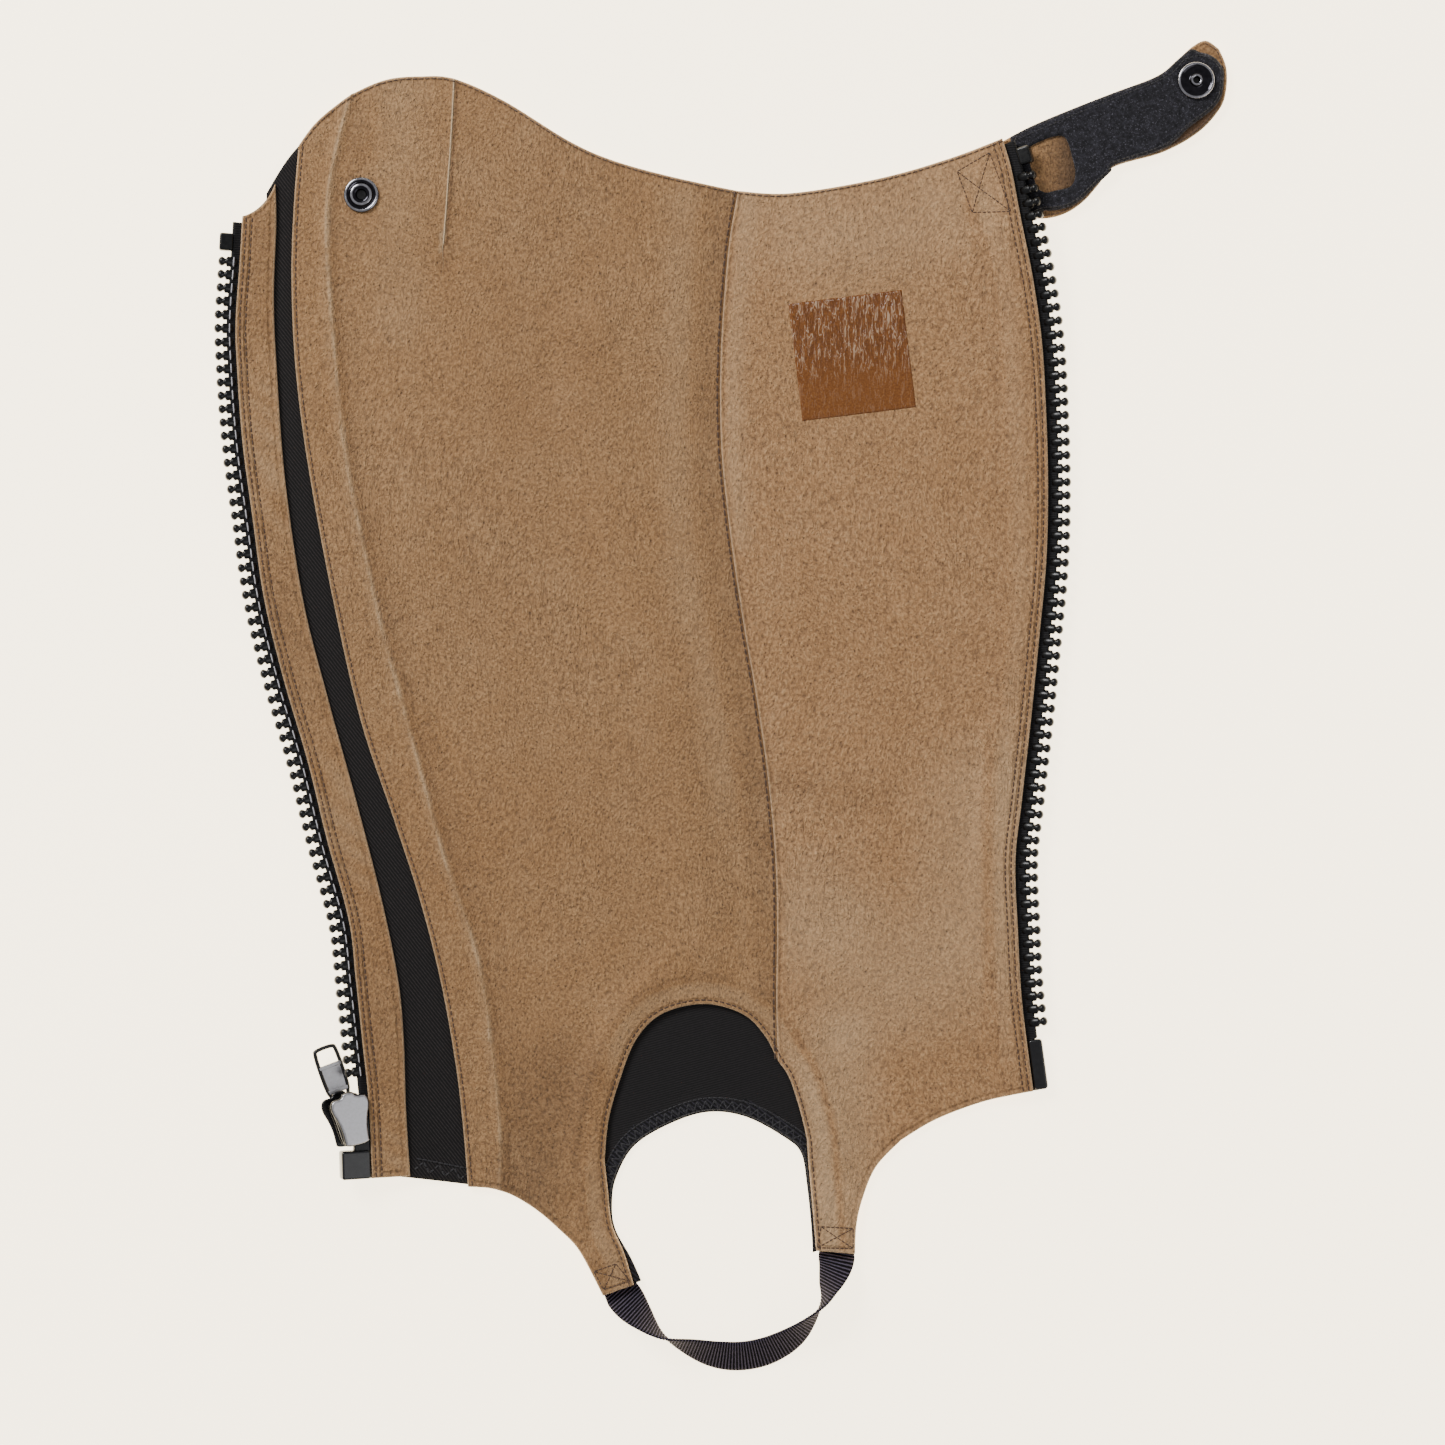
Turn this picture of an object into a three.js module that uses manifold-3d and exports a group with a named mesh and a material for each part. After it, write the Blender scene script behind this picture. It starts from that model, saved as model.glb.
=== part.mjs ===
// Half chap, unzipped and laid flat on its outer side with the inner side up.
// Millimetres, Z up, knee edge towards +Y, front zip half on the -X side.

import * as THREE from 'three';
import Module from 'manifold-3d';

const wasm = await Module();
wasm.setup();

// Leather, cloth and the room between layers
const chapWidth = 313;
const chapHeight = 469;
const leatherWall = 1.8;
const fabricWall = 1;
const clearance = 0.3;
const seamLap = 5.5;
const stripLap = 5;
const lapFlat = 7.5;
const lapFade = 12;

// How the two zip edges curl up off the floor
const zipLift = 2;
const curlWidth = 35;
const sliderLift = 3;
const sliderLiftReach = 95;
const tabLift = 3.1;
const tabLiftReach = 90;

// Zip halves
const toothPitch = 5.1;
const toothLength = 4.6;
const toothThickness = 4.6;
const toothRoot = 0.16;
const toothTip = 0.3;
const spineWidth = 1.3;
const frontZipReach = 8.4;
const backZipReach = 9;
const frontTeethStart = 15;
const frontTeethEnd = 35;
const backTeethStart = 13.5;
const backTeethEnd = 21;
const stopWidth = 4.4;
const stopLength = 6.8;
const frontStopCentre = 10;
const backStopCentre = 8.6;
const retainerWidth = 11.4;
const retainerLength = 11;
const retainerThickness = 6.2;
const pinWidth = 5.4;
const pinLength = 19.6;
const pinThickness = 3.6;

// Slider and pull
const sliderFromFoot = 23.6;
const sliderBeyondEdge = 7.3;
const sliderLength = 20.8;
const sliderWidth = 15.4;
const sliderPlate = 1.3;
const sliderMouth = 6;
const sliderLean = 9;
const bridgeWidth = 2.6;
const bridgeLength = 8;
const bridgeRoom = 2.2;
const bridgeWall = 1;
const pullLength = 28;
const pullWidth = 10.3;
const pullThickness = 1.5;
const pullBar = 1.4;
const eyeLength = 9;
const eyeWidth = 4.6;
const eyeWall = 1.5;
const pullLean = 7;
const pullTip = 2;

// Stirrup strap
const strapWidth = 14;
const strapWall = 1.3;
const strapTuck = 11;
const strapRoomFlat = 10;

// Closing tab
const tabWall = 1.4;
const backingWall = 1;
const tabSeat = 0.9;
const tabSeatReach = 24;

// Press stud halves and their caps
const socketRadius = 6.7;
const socketHole = 1.9;
const socketHeight = 1.9;
const studRadius = 7.1;
const studPost = 2.4;
const studHole = 1.2;
const studHeight = 2.6;
const capRadius = 6.9;
const capWall = 1;
const capBevel = 0.7;
const capPlateau = 17;
const capFade = 30;

// Label patch
const labelWidth = 44;
const labelHeight = 45.5;
const labelWall = 0.4;
const labelTilt = -7;

// Where several outlines meet
const corners = {
  gussetTop: { across: 0.078, up: 0.943 },
  ridgeTop: { across: 0.141, up: 0.984 },
  seamTop: { across: 0.618, up: 0.906 },
  kneeBack: { across: 0.942, up: 0.947 },
  gussetFoot: { across: 0.286, up: 0.088 },
  ridgeFoot: { across: 0.325, up: 0.085 },
  frontLegOuter: { across: 0.452, up: -0.001 },
  frontLegInner: { across: 0.49, up: 0.008 },
  archFront: { across: 0.454, up: 0.11 },
  seamFoot: { across: 0.667, up: 0.192 },
  archBack: { across: 0.703, up: 0.126 },
  backLegInner: { across: 0.714, up: 0.036 },
  backLegOuter: { across: 0.762, up: 0.033 },
  backLegTop: { across: 0.819, up: 0.126 },
  zipBackFoot: { across: 0.981, up: 0.167 },
};

function plan(row) {
  return new THREE.Vector2(row.across * chapWidth, row.up * chapHeight);
}

function through(...rows) {
  return new THREE.SplineCurve(rows.flat().map(plan));
}

// Outlines, as shares of the leather's width and height
const kneeFrontShort = through(corners.gussetTop, [{ across: 0.101, up: 0.963 }], corners.ridgeTop);
const kneeFrontLong = through(corners.ridgeTop, [
  { across: 0.184, up: 0.997 },
  { across: 0.227, up: 1.0 },
  { across: 0.269, up: 0.998 },
  { across: 0.33, up: 0.98 },
  { across: 0.41, up: 0.947 },
  { across: 0.464, up: 0.931 },
  { across: 0.534, up: 0.918 },
], corners.seamTop);
const kneeInner = through(corners.seamTop, [
  { across: 0.682, up: 0.904 },
  { across: 0.784, up: 0.915 },
  { across: 0.873, up: 0.931 },
], corners.kneeBack);
const frontEdge = through([
  { across: 0.009, up: 0.884 },
  { across: 0.006, up: 0.849 },
  { across: 0.001, up: 0.8 },
  { across: 0.002, up: 0.767 },
  { across: 0.009, up: 0.701 },
  { across: 0.022, up: 0.635 },
  { across: 0.036, up: 0.57 },
  { across: 0.06, up: 0.504 },
  { across: 0.089, up: 0.438 },
  { across: 0.113, up: 0.373 },
  { across: 0.14, up: 0.307 },
  { across: 0.149, up: 0.258 },
  { across: 0.157, up: 0.209 },
  { across: 0.165, up: 0.159 },
  { across: 0.169, up: 0.096 },
]);
const stripBack = through([
  { across: 0.049, up: 0.911 },
  { across: 0.05, up: 0.878 },
  { across: 0.047, up: 0.816 },
  { across: 0.051, up: 0.755 },
  { across: 0.061, up: 0.668 },
  { across: 0.083, up: 0.57 },
  { across: 0.114, up: 0.488 },
  { across: 0.148, up: 0.406 },
  { across: 0.18, up: 0.323 },
  { across: 0.2, up: 0.258 },
  { across: 0.207, up: 0.209 },
  { across: 0.21, up: 0.151 },
  { across: 0.215, up: 0.097 },
]);
const gussetBack = through(corners.gussetTop, [
  { across: 0.072, up: 0.894 },
  { across: 0.069, up: 0.833 },
  { across: 0.074, up: 0.759 },
  { across: 0.09, up: 0.677 },
  { across: 0.12, up: 0.57 },
  { across: 0.154, up: 0.471 },
  { across: 0.195, up: 0.389 },
  { across: 0.227, up: 0.323 },
  { across: 0.252, up: 0.258 },
  { across: 0.27, up: 0.192 },
  { across: 0.279, up: 0.143 },
], corners.gussetFoot);
const frontRidge = through(corners.ridgeTop, [
  { across: 0.122, up: 0.93 },
  { across: 0.114, up: 0.887 },
  { across: 0.117, up: 0.817 },
  { across: 0.137, up: 0.687 },
  { across: 0.17, up: 0.578 },
  { across: 0.208, up: 0.479 },
  { across: 0.256, up: 0.363 },
  { across: 0.297, up: 0.278 },
  { across: 0.315, up: 0.204 },
  { across: 0.325, up: 0.135 },
], corners.ridgeFoot);
const seam = through(corners.seamTop, [
  { across: 0.606, up: 0.857 },
  { across: 0.597, up: 0.775 },
  { across: 0.597, up: 0.701 },
  { across: 0.607, up: 0.631 },
  { across: 0.624, up: 0.553 },
  { across: 0.641, up: 0.488 },
  { across: 0.655, up: 0.422 },
  { across: 0.664, up: 0.356 },
  { across: 0.666, up: 0.299 },
  { across: 0.665, up: 0.241 },
], corners.seamFoot);
const backEdge = through(corners.kneeBack, [
  { across: 0.953, up: 0.923 },
  { across: 0.965, up: 0.882 },
  { across: 0.98, up: 0.833 },
  { across: 0.991, up: 0.783 },
  { across: 0.996, up: 0.734 },
  { across: 0.999, up: 0.668 },
  { across: 0.997, up: 0.603 },
  { across: 0.988, up: 0.537 },
  { across: 0.978, up: 0.471 },
  { across: 0.967, up: 0.406 },
  { across: 0.959, up: 0.356 },
  { across: 0.962, up: 0.299 },
  { across: 0.967, up: 0.241 },
], corners.zipBackFoot);
const footFrontShort = through(corners.gussetFoot, corners.ridgeFoot);
const footFront = through(corners.ridgeFoot, [
  { across: 0.365, up: 0.071 },
  { across: 0.399, up: 0.052 },
  { across: 0.424, up: 0.034 },
], corners.frontLegOuter);
const frontLegEnd = through(corners.frontLegOuter, corners.frontLegInner);
const frontLegInner = through(corners.frontLegInner, [
  { across: 0.478, up: 0.034 },
  { across: 0.463, up: 0.057 },
  { across: 0.458, up: 0.085 },
], corners.archFront);
const archFront = through(corners.archFront, [
  { across: 0.459, up: 0.143 },
  { across: 0.473, up: 0.176 },
  { across: 0.493, up: 0.209 },
  { across: 0.525, up: 0.23 },
  { across: 0.576, up: 0.238 },
  { across: 0.623, up: 0.23 },
  { across: 0.65, up: 0.213 },
], corners.seamFoot);
const archBack = through(corners.seamFoot, [
  { across: 0.682, up: 0.176 },
  { across: 0.697, up: 0.144 },
], corners.archBack);
const backLegInner = through(corners.archBack, [
  { across: 0.705, up: 0.106 },
  { across: 0.709, up: 0.077 },
], corners.backLegInner);
const backLegEnd = through(corners.backLegInner, corners.backLegOuter);
const backLegOuter = through(corners.backLegTop, [
  { across: 0.788, up: 0.104 },
  { across: 0.771, up: 0.077 },
  { across: 0.764, up: 0.057 },
], corners.backLegOuter);
const footBack = through(corners.backLegTop, [
  { across: 0.862, up: 0.143 },
  { across: 0.922, up: 0.158 },
], corners.zipBackFoot);
const archHem = through([
  { across: 0.499, up: 0.011 },
  { across: 0.486, up: 0.03 },
  { across: 0.467, up: 0.053 },
  { across: 0.463, up: 0.073 },
  { across: 0.468, up: 0.095 },
  { across: 0.49, up: 0.121 },
  { across: 0.533, up: 0.139 },
  { across: 0.581, up: 0.149 },
  { across: 0.628, up: 0.145 },
  { across: 0.676, up: 0.128 },
  { across: 0.696, up: 0.115 },
  { across: 0.703, up: 0.089 },
  { across: 0.708, up: 0.057 },
  { across: 0.71, up: 0.034 },
]);

// Soft rolls in the leather: the lines that they follow, then how high and how wide each is
const centreRoll = [
  { across: 0.43, up: 0.791 },
  { across: 0.448, up: 0.677 },
  { across: 0.498, up: 0.57 },
  { across: 0.541, up: 0.455 },
  { across: 0.565, up: 0.356 },
  { across: 0.569, up: 0.282 },
];
const archRoll = [
  { across: 0.429, up: 0.102 },
  { across: 0.434, up: 0.159 },
  { across: 0.468, up: 0.223 },
  { across: 0.5, up: 0.25 },
  { across: 0.564, up: 0.281 },
  { across: 0.633, up: 0.259 },
  { across: 0.698, up: 0.214 },
  { across: 0.731, up: 0.155 },
  { across: 0.75, up: 0.118 },
];
const backRoll = [
  { across: 0.931, up: 0.867 },
  { across: 0.949, up: 0.787 },
  { across: 0.956, up: 0.693 },
  { across: 0.954, up: 0.586 },
  { across: 0.944, up: 0.488 },
  { across: 0.928, up: 0.406 },
  { across: 0.918, up: 0.337 },
  { across: 0.927, up: 0.282 },
];
const rolls = [
  { line: frontRidge, rise: 1.1, reach: 5 },
  { line: through(centreRoll), rise: 1.6, reach: 17 },
  { line: through(archRoll), rise: 1.3, reach: 10 },
  { line: through(backRoll), rise: 0.9, reach: 8 },
];

// The strap's middle line from leg to leg, and its turn about that line in degrees
const strapRoute = [
  { across: 0.475, up: 0.0, turn: 0 },
  { across: 0.497, up: -0.016, turn: 48 },
  { across: 0.525, up: -0.033, turn: 90 },
  { across: 0.559, up: -0.0425, turn: 124 },
  { across: 0.594, up: -0.0493, turn: 144 },
  { across: 0.627, up: -0.0501, turn: 148 },
  { across: 0.66, up: -0.0443, turn: 144 },
  { across: 0.692, up: -0.031, turn: 128 },
  { across: 0.7205, up: -0.0085, turn: 90 },
  { across: 0.73, up: 0.0085, turn: 58 },
  { across: 0.737, up: 0.022, turn: 30 },
  { across: 0.74, up: 0.032, turn: 0 },
];

// The tab's outline and its window: the leather, and the shorter backing
const tabUpper = [
  { across: 0.944, up: 0.9465 },
  { across: 0.98, up: 0.959 },
  { across: 1.03, up: 0.973 },
  { across: 1.08, up: 0.986 },
  { across: 1.133, up: 0.9995 },
  { across: 1.16, up: 1.014 },
  { across: 1.178, up: 1.0245 },
];
const tabNose = [
  { across: 1.194, up: 1.029 },
  { across: 1.21, up: 1.022 },
  { across: 1.219, up: 1.0065 },
  { across: 1.2185, up: 0.987 },
];
const tabLower = [
  { across: 1.21, up: 0.972 },
  { across: 1.184, up: 0.9535 },
  { across: 1.141, up: 0.9375 },
  { across: 1.081, up: 0.9255 },
  { across: 1.062, up: 0.911 },
  { across: 1.044, up: 0.8975 },
  { across: 1.022, up: 0.8875 },
  { across: 0.995, up: 0.883 },
  { across: 0.958, up: 0.885 },
];
const tabTuckedEnd = [
  { across: 0.89, up: 0.92 },
  { across: 0.91, up: 0.888 },
];
const backingOutline = [
  { across: 0.955, up: 0.9485 },
  { across: 1.026, up: 0.969 },
  { across: 1.085, up: 0.985 },
  { across: 1.133, up: 0.998 },
  { across: 1.151, up: 1.005 },
  { across: 1.163, up: 1.014 },
  { across: 1.175, up: 1.0175 },
  { across: 1.19, up: 1.0185 },
  { across: 1.205, up: 1.014 },
  { across: 1.2145, up: 1.0055 },
  { across: 1.2155, up: 0.9965 },
  { across: 1.2125, up: 0.983 },
  { across: 1.201, up: 0.972 },
  { across: 1.174, up: 0.958 },
  { across: 1.143, up: 0.9405 },
  { across: 1.081, up: 0.9265 },
  { across: 1.077, up: 0.9215 },
  { across: 1.0555, up: 0.908 },
  { across: 1.038, up: 0.897 },
  { across: 1.02, up: 0.891 },
  { across: 0.996, up: 0.889 },
  { across: 0.967, up: 0.8905 },
];
const backingWindow = [
  { across: 0.972, up: 0.939 },
  { across: 0.985, up: 0.9445 },
  { across: 1.007, up: 0.95 },
  { across: 1.021, up: 0.9485 },
  { across: 1.0295, up: 0.932 },
  { across: 1.033, up: 0.919 },
  { across: 1.027, up: 0.909 },
  { across: 1.008, up: 0.9055 },
  { across: 0.996, up: 0.904 },
  { across: 0.986, up: 0.9085 },
  { across: 0.979, up: 0.923 },
];
const socketCentre = plan({ across: 0.155, up: 0.902 });
const studCentre = plan({ across: 1.181, up: 0.9955 });
const labelCentre = plan({ across: 0.7585, up: 0.7705 });

function bump(share) {
  const inside = Math.max(0, 1 - share * share);
  return inside * inside;
}

// 1 up to the edge of a plateau, then an S-shaped fall to 0
function plateau(distance, flat, fade) {
  const share = THREE.MathUtils.clamp((distance - flat) / fade, 0, 1);
  return 1 - share * share * (3 - 2 * share);
}

function acrossAt(points, y) {
  if (y >= points[0].y) return points[0].x;
  for (let i = 1; i < points.length; i += 1) {
    if (y >= points[i].y) {
      const share = (points[i - 1].y - y) / (points[i - 1].y - points[i].y);
      return THREE.MathUtils.lerp(points[i - 1].x, points[i].x, share);
    }
  }
  return points[points.length - 1].x;
}

function distanceTo(points, x, y) {
  const here = new THREE.Vector2(x, y);
  return Math.min(...points.map((point) => point.distanceTo(here)));
}

const curveSteps = 160;
const frontEdgePoints = frontEdge.getSpacedPoints(curveSteps);
const backEdgePoints = backEdge.getSpacedPoints(curveSteps);
const gussetBackPoints = gussetBack.getSpacedPoints(curveSteps);
const opening = new THREE.CurvePath();
for (const curve of [frontLegInner, archFront, archBack, backLegInner]) opening.add(curve);
const openingPoints = opening.getSpacedPoints(curveSteps);
const rollPoints = rolls.map((roll) => roll.line.getSpacedPoints(curveSteps));
const sliderCentreY = frontEdge.getPointAt(1 - sliderFromFoot / frontEdge.getLength()).y;
const tabCentreY = plan({ across: 1, up: 0.92 }).y;
const frontTuckCentre = plan({ across: 0.469, up: 0.012 });
const backTuckCentre = plan({ across: 0.739, up: 0.048 });

function curl(distance) {
  const share = Math.max(0, 1 - Math.max(distance, -backZipReach) / curlWidth);
  return share * share;
}

// How far the chap's lowest layer stands off the floor
function lift(x, y) {
  const frontRise = zipLift + sliderLift * bump((y - sliderCentreY) / sliderLiftReach);
  const backRise = zipLift + tabLift * bump((y - tabCentreY) / tabLiftReach);
  const front = frontRise * curl(x - acrossAt(frontEdgePoints, y));
  const back = backRise * curl(acrossAt(backEdgePoints, y) - x);
  return front + back;
}

// Room over the tucked strap ends
function strapRoom(x, y) {
  const nearest = Math.min(frontTuckCentre.distanceTo({ x, y }), backTuckCentre.distanceTo({ x, y }));
  return (strapWall + clearance) * plateau(nearest, strapRoomFlat, lapFade);
}

// Underside of the leather: over the laps, the stud's cap, the tab's end and the tucked strap
function leatherLow(x, y) {
  const overLap = fabricWall + clearance;
  const edges = [
    overLap * plateau(x - acrossAt(gussetBackPoints, y), lapFlat, lapFade),
    overLap * plateau(acrossAt(backEdgePoints, y) - x, lapFlat, lapFade),
    overLap * plateau(distanceTo(openingPoints, x, y), lapFlat, lapFade),
    (capWall + clearance) * plateau(socketCentre.distanceTo({ x, y }), capPlateau, capFade),
    tabSeat * plateau(acrossAt(backEdgePoints, y) - x, tabSeatReach, lapFade)
      * plateau(Math.abs(y - tabCentreY), tabSeatReach, lapFade),
  ];
  let folds = 0;
  for (let i = 0; i < rolls.length; i += 1) {
    folds += rolls[i].rise * bump(distanceTo(rollPoints[i], x, y) / rolls[i].reach);
  }
  return lift(x, y) + strapRoom(x, y) + Math.max(...edges) + folds;
}

// A closed solid between two sets of points with the same faces: tops, bottoms and a wall round each rim
function solidBetween(low, high, faces) {
  const positions = [];
  const put = (...corner) => corner.forEach((point) => positions.push(point.x, point.y, point.z));
  const rims = new Map();
  for (const face of faces) {
    for (let i = 0; i < face.length; i += 1) {
      const from = face[i];
      const to = face[(i + 1) % face.length];
      if (rims.has(`${to}/${from}`)) rims.delete(`${to}/${from}`);
      else rims.set(`${from}/${to}`, [from, to]);
    }
    for (let i = 1; i + 1 < face.length; i += 1) {
      put(high[face[0]], high[face[i]], high[face[i + 1]]);
      put(low[face[0]], low[face[i + 1]], low[face[i]]);
    }
  }
  for (const [from, to] of rims.values()) {
    put(low[from], low[to], high[to]);
    put(low[from], high[to], high[from]);
  }
  const geometry = new THREE.BufferGeometry();
  geometry.setAttribute('position', new THREE.Float32BufferAttribute(positions, 3));
  geometry.computeVertexNormals();
  return geometry;
}

// Rows of points between four borders, blended so that every border is kept
function blendedRows(top, bottom, left, right) {
  const columns = top.length - 1;
  const rows = left.length - 1;
  const grid = [];
  for (let j = 0; j <= rows; j += 1) {
    const v = j / rows;
    const row = [];
    for (let i = 0; i <= columns; i += 1) {
      const u = i / columns;
      const across = left[j].clone().multiplyScalar(1 - u).addScaledVector(right[j], u);
      const down = top[i].clone().multiplyScalar(1 - v).addScaledVector(bottom[i], v);
      const cornersBlend = top[0].clone().multiplyScalar((1 - u) * (1 - v))
        .addScaledVector(top[columns], u * (1 - v))
        .addScaledVector(bottom[0], (1 - u) * v)
        .addScaledVector(bottom[columns], u * v);
      const border = (j === 0 && top[i]) || (j === rows && bottom[i])
        || (i === 0 && left[j]) || (i === columns && right[j]);
      row.push(border || across.add(down).sub(cornersBlend));
    }
    grid.push(row);
  }
  return grid;
}

// Joins grids that share borders into one list of points and faces, wound anticlockwise from above
function joined(grids) {
  const points = [];
  const faces = [];
  const known = new Map();
  const numberOf = (point) => {
    const key = `${point.x.toFixed(3)}/${point.y.toFixed(3)}`;
    if (!known.has(key)) {
      known.set(key, points.length);
      points.push(point);
    }
    return known.get(key);
  };
  for (const grid of grids) {
    for (let j = 0; j + 1 < grid.length; j += 1) {
      for (let i = 0; i + 1 < grid[j].length; i += 1) {
        const loop = [grid[j + 1][i], grid[j + 1][i + 1], grid[j][i + 1], grid[j][i]];
        const face = loop.map(numberOf);
        faces.push(THREE.ShapeUtils.area(loop) < 0 ? face.reverse() : face);
      }
    }
  }
  return { points, faces };
}

// A wall of even thickness over a plan grid, its underside at a height worked out for each point
function wallOver(grids, heightAt, wall) {
  const { points, faces } = joined(grids);
  const low = points.map((point) => new THREE.Vector3(point.x, point.y, heightAt(point.x, point.y)));
  const high = low.map((point) => point.clone().setZ(point.z + wall));
  return solidBetween(low, high, faces);
}

const group = new THREE.Group();

function add(name, geometry, material) {
  const mesh = new THREE.Mesh(geometry, material);
  mesh.name = name;
  group.add(mesh);
  return mesh;
}

const leather = new THREE.MeshStandardMaterial({ color: 0xa68463, roughness: 0.7 });
const elastic = new THREE.MeshStandardMaterial({ color: 0x1d1b1c, roughness: 0.9 });
const webbing = new THREE.MeshStandardMaterial({ color: 0x1b1a1d, roughness: 0.8 });
const suede = new THREE.MeshStandardMaterial({ color: 0x232326, roughness: 0.95 });
const moulded = new THREE.MeshStandardMaterial({ color: 0x121214, roughness: 0.35 });
const nickel = new THREE.MeshStandardMaterial({ color: 0xc9c8c6, roughness: 0.35, metalness: 1 });
const gunmetal = new THREE.MeshStandardMaterial({ color: 0x3a3a3e, roughness: 0.25, metalness: 1 });
const film = new THREE.MeshStandardMaterial({ color: 0x8a5327, roughness: 0.3 });

// Leather panels
const panelRows = 28;
const ridgeColumns = 3;
const legColumns = 6;
const archColumns = 13;
const innerColumns = 12;
const legRows = 6;
const seamGap = new THREE.Vector2(clearance / 2, 0);

function mainPanelGrids() {
  const seamSide = seam.getSpacedPoints(panelRows).map((point) => point.clone().sub(seamGap));
  const ridge = frontRidge.getSpacedPoints(panelRows);
  const top = kneeFrontLong.getSpacedPoints(legColumns + archColumns);
  const cut = through(corners.ridgeFoot, corners.archFront).getSpacedPoints(legColumns);
  const arch = archFront.getSpacedPoints(archColumns);
  const bottom = [...cut, ...arch.slice(1)];
  top[top.length - 1] = seamSide[0];
  bottom[bottom.length - 1] = seamSide[panelRows];
  const front = blendedRows(
    kneeFrontShort.getSpacedPoints(ridgeColumns),
    footFrontShort.getSpacedPoints(ridgeColumns),
    gussetBack.getSpacedPoints(panelRows),
    ridge,
  );
  const body = blendedRows(top, bottom, ridge, seamSide);
  const leg = blendedRows(
    cut,
    frontLegEnd.getSpacedPoints(legColumns),
    footFront.getSpacedPoints(legRows),
    frontLegInner.getSpacedPoints(legRows).reverse(),
  );
  return [front, body, leg];
}

function innerPanelGrids() {
  const seamSide = seam.getSpacedPoints(panelRows).map((point) => point.clone().add(seamGap));
  const archColumnsBack = 3;
  const legColumnsBack = 4;
  const footColumns = innerColumns - archColumnsBack - legColumnsBack;
  const top = kneeInner.getSpacedPoints(innerColumns);
  const cut = through(corners.archBack, corners.backLegTop).getSpacedPoints(legColumnsBack);
  const arch = archBack.getSpacedPoints(archColumnsBack);
  const foot = footBack.getSpacedPoints(footColumns);
  const bottom = [...arch, ...cut.slice(1), ...foot.slice(1)];
  top[0] = seamSide[0];
  bottom[0] = seamSide[panelRows];
  const body = blendedRows(top, bottom, seamSide, backEdge.getSpacedPoints(panelRows));
  const leg = blendedRows(
    cut,
    backLegEnd.getSpacedPoints(legColumnsBack),
    backLegInner.getSpacedPoints(legRows),
    backLegOuter.getSpacedPoints(legRows),
  );
  return [body, leg];
}

add('main_panel', wallOver(mainPanelGrids(), leatherLow, leatherWall), leather);
add('inner_panel', wallOver(innerPanelGrids(), leatherLow, leatherWall), leather);

// Front strip and the elastic that joins it to the main panel
function between(left, right, shares) {
  return left.map((point, row) => shares.map((share) => point.clone().lerp(right[row], share)));
}

const stripSides = [frontEdge.getSpacedPoints(panelRows), stripBack.getSpacedPoints(panelRows)];
const gussetSide = gussetBack.getSpacedPoints(panelRows);
add('front_strip', wallOver(
  [between(...stripSides, [0, 0.33, 0.67, 1])],
  (x, y) => lift(x, y) + fabricWall + clearance,
  leatherWall,
), leather);

function gussetGrid() {
  const tucked = stripSides[1].map((point, row) => {
    const width = point.distanceTo(stripSides[0][row]);
    return point.clone().lerp(stripSides[0][row], stripLap / width);
  });
  const under = gussetSide.map((point) => point.clone().setX(point.x + seamLap));
  return between(tucked, under, [0, 0.33, 0.67, 1]);
}

add('elastic_gusset', wallOver([gussetGrid()], lift, fabricWall), elastic);

// Stretch cloth round the arch: its outer rim tucked under the leather, its inner rim hemmed
const legTuck = 1.4;
const legTuckGrowth = 0.12;

function archGrid() {
  const stations = 34;
  const total = opening.getLength();
  const inner = archHem.getSpacedPoints(stations);
  const outer = opening.getSpacedPoints(stations).map((point, station) => {
    const share = station / stations;
    const along = opening.getTangentAt(share);
    const fromEnd = Math.min(share, 1 - share) * total;
    const tuck = Math.min(seamLap, legTuck + fromEnd * legTuckGrowth);
    return point.clone().add(new THREE.Vector2(-along.y, along.x).multiplyScalar(tuck));
  });
  return between(outer, inner, [0, 0.5, 1]);
}

add('arch_panel', wallOver([archGrid()], (x, y) => lift(x, y) + strapRoom(x, y), fabricWall), elastic);

// Stirrup strap: flat under each leg, on edge at two places, its lower rim on the floor throughout
function strapGeometry() {
  const route = new THREE.SplineCurve(strapRoute.map(plan));
  const turns = new THREE.SplineCurve(strapRoute.map((row, i) => new THREE.Vector2(i, row.turn)));
  const stations = 54;
  const points = [];
  const steps = [];
  for (let i = 0; i <= stations; i += 1) {
    points.push(route.getPoint(i / stations));
    steps.push({ along: route.getTangent(i / stations), turn: Math.max(0, turns.getPoint(i / stations).y) });
  }
  const first = points[0].clone().addScaledVector(steps[0].along, -strapTuck);
  const last = points[stations].clone().addScaledVector(steps[stations].along, strapTuck);
  points.unshift(first);
  steps.unshift({ along: steps[0].along, turn: 0 });
  points.push(last);
  steps.push({ along: steps[steps.length - 1].along, turn: 0 });
  const low = [];
  const high = [];
  const faces = [];
  points.forEach((point, station) => {
    const { along, turn } = steps[station];
    const angle = THREE.MathUtils.degToRad(turn);
    const inward = new THREE.Vector3(-along.y, along.x, 0);
    const side = inward.clone().multiplyScalar(Math.cos(angle)).setZ(-Math.sin(angle));
    const face = inward.clone().multiplyScalar(Math.sin(angle)).setZ(Math.cos(angle));
    const height = (strapWall * Math.abs(Math.cos(angle)) + strapWidth * Math.abs(Math.sin(angle))) / 2;
    const centre = new THREE.Vector3(point.x, point.y, height);
    for (const rim of [-0.5, 0.5]) {
      const at = centre.clone().addScaledVector(side, rim * strapWidth);
      low.push(at.clone().addScaledVector(face, -strapWall / 2));
      high.push(at.clone().addScaledVector(face, strapWall / 2));
    }
    if (station > 0) {
      const k = station * 2;
      faces.push([k - 2, k, k + 1, k - 1]);
    }
  });
  return solidBetween(low, high, faces);
}

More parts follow.
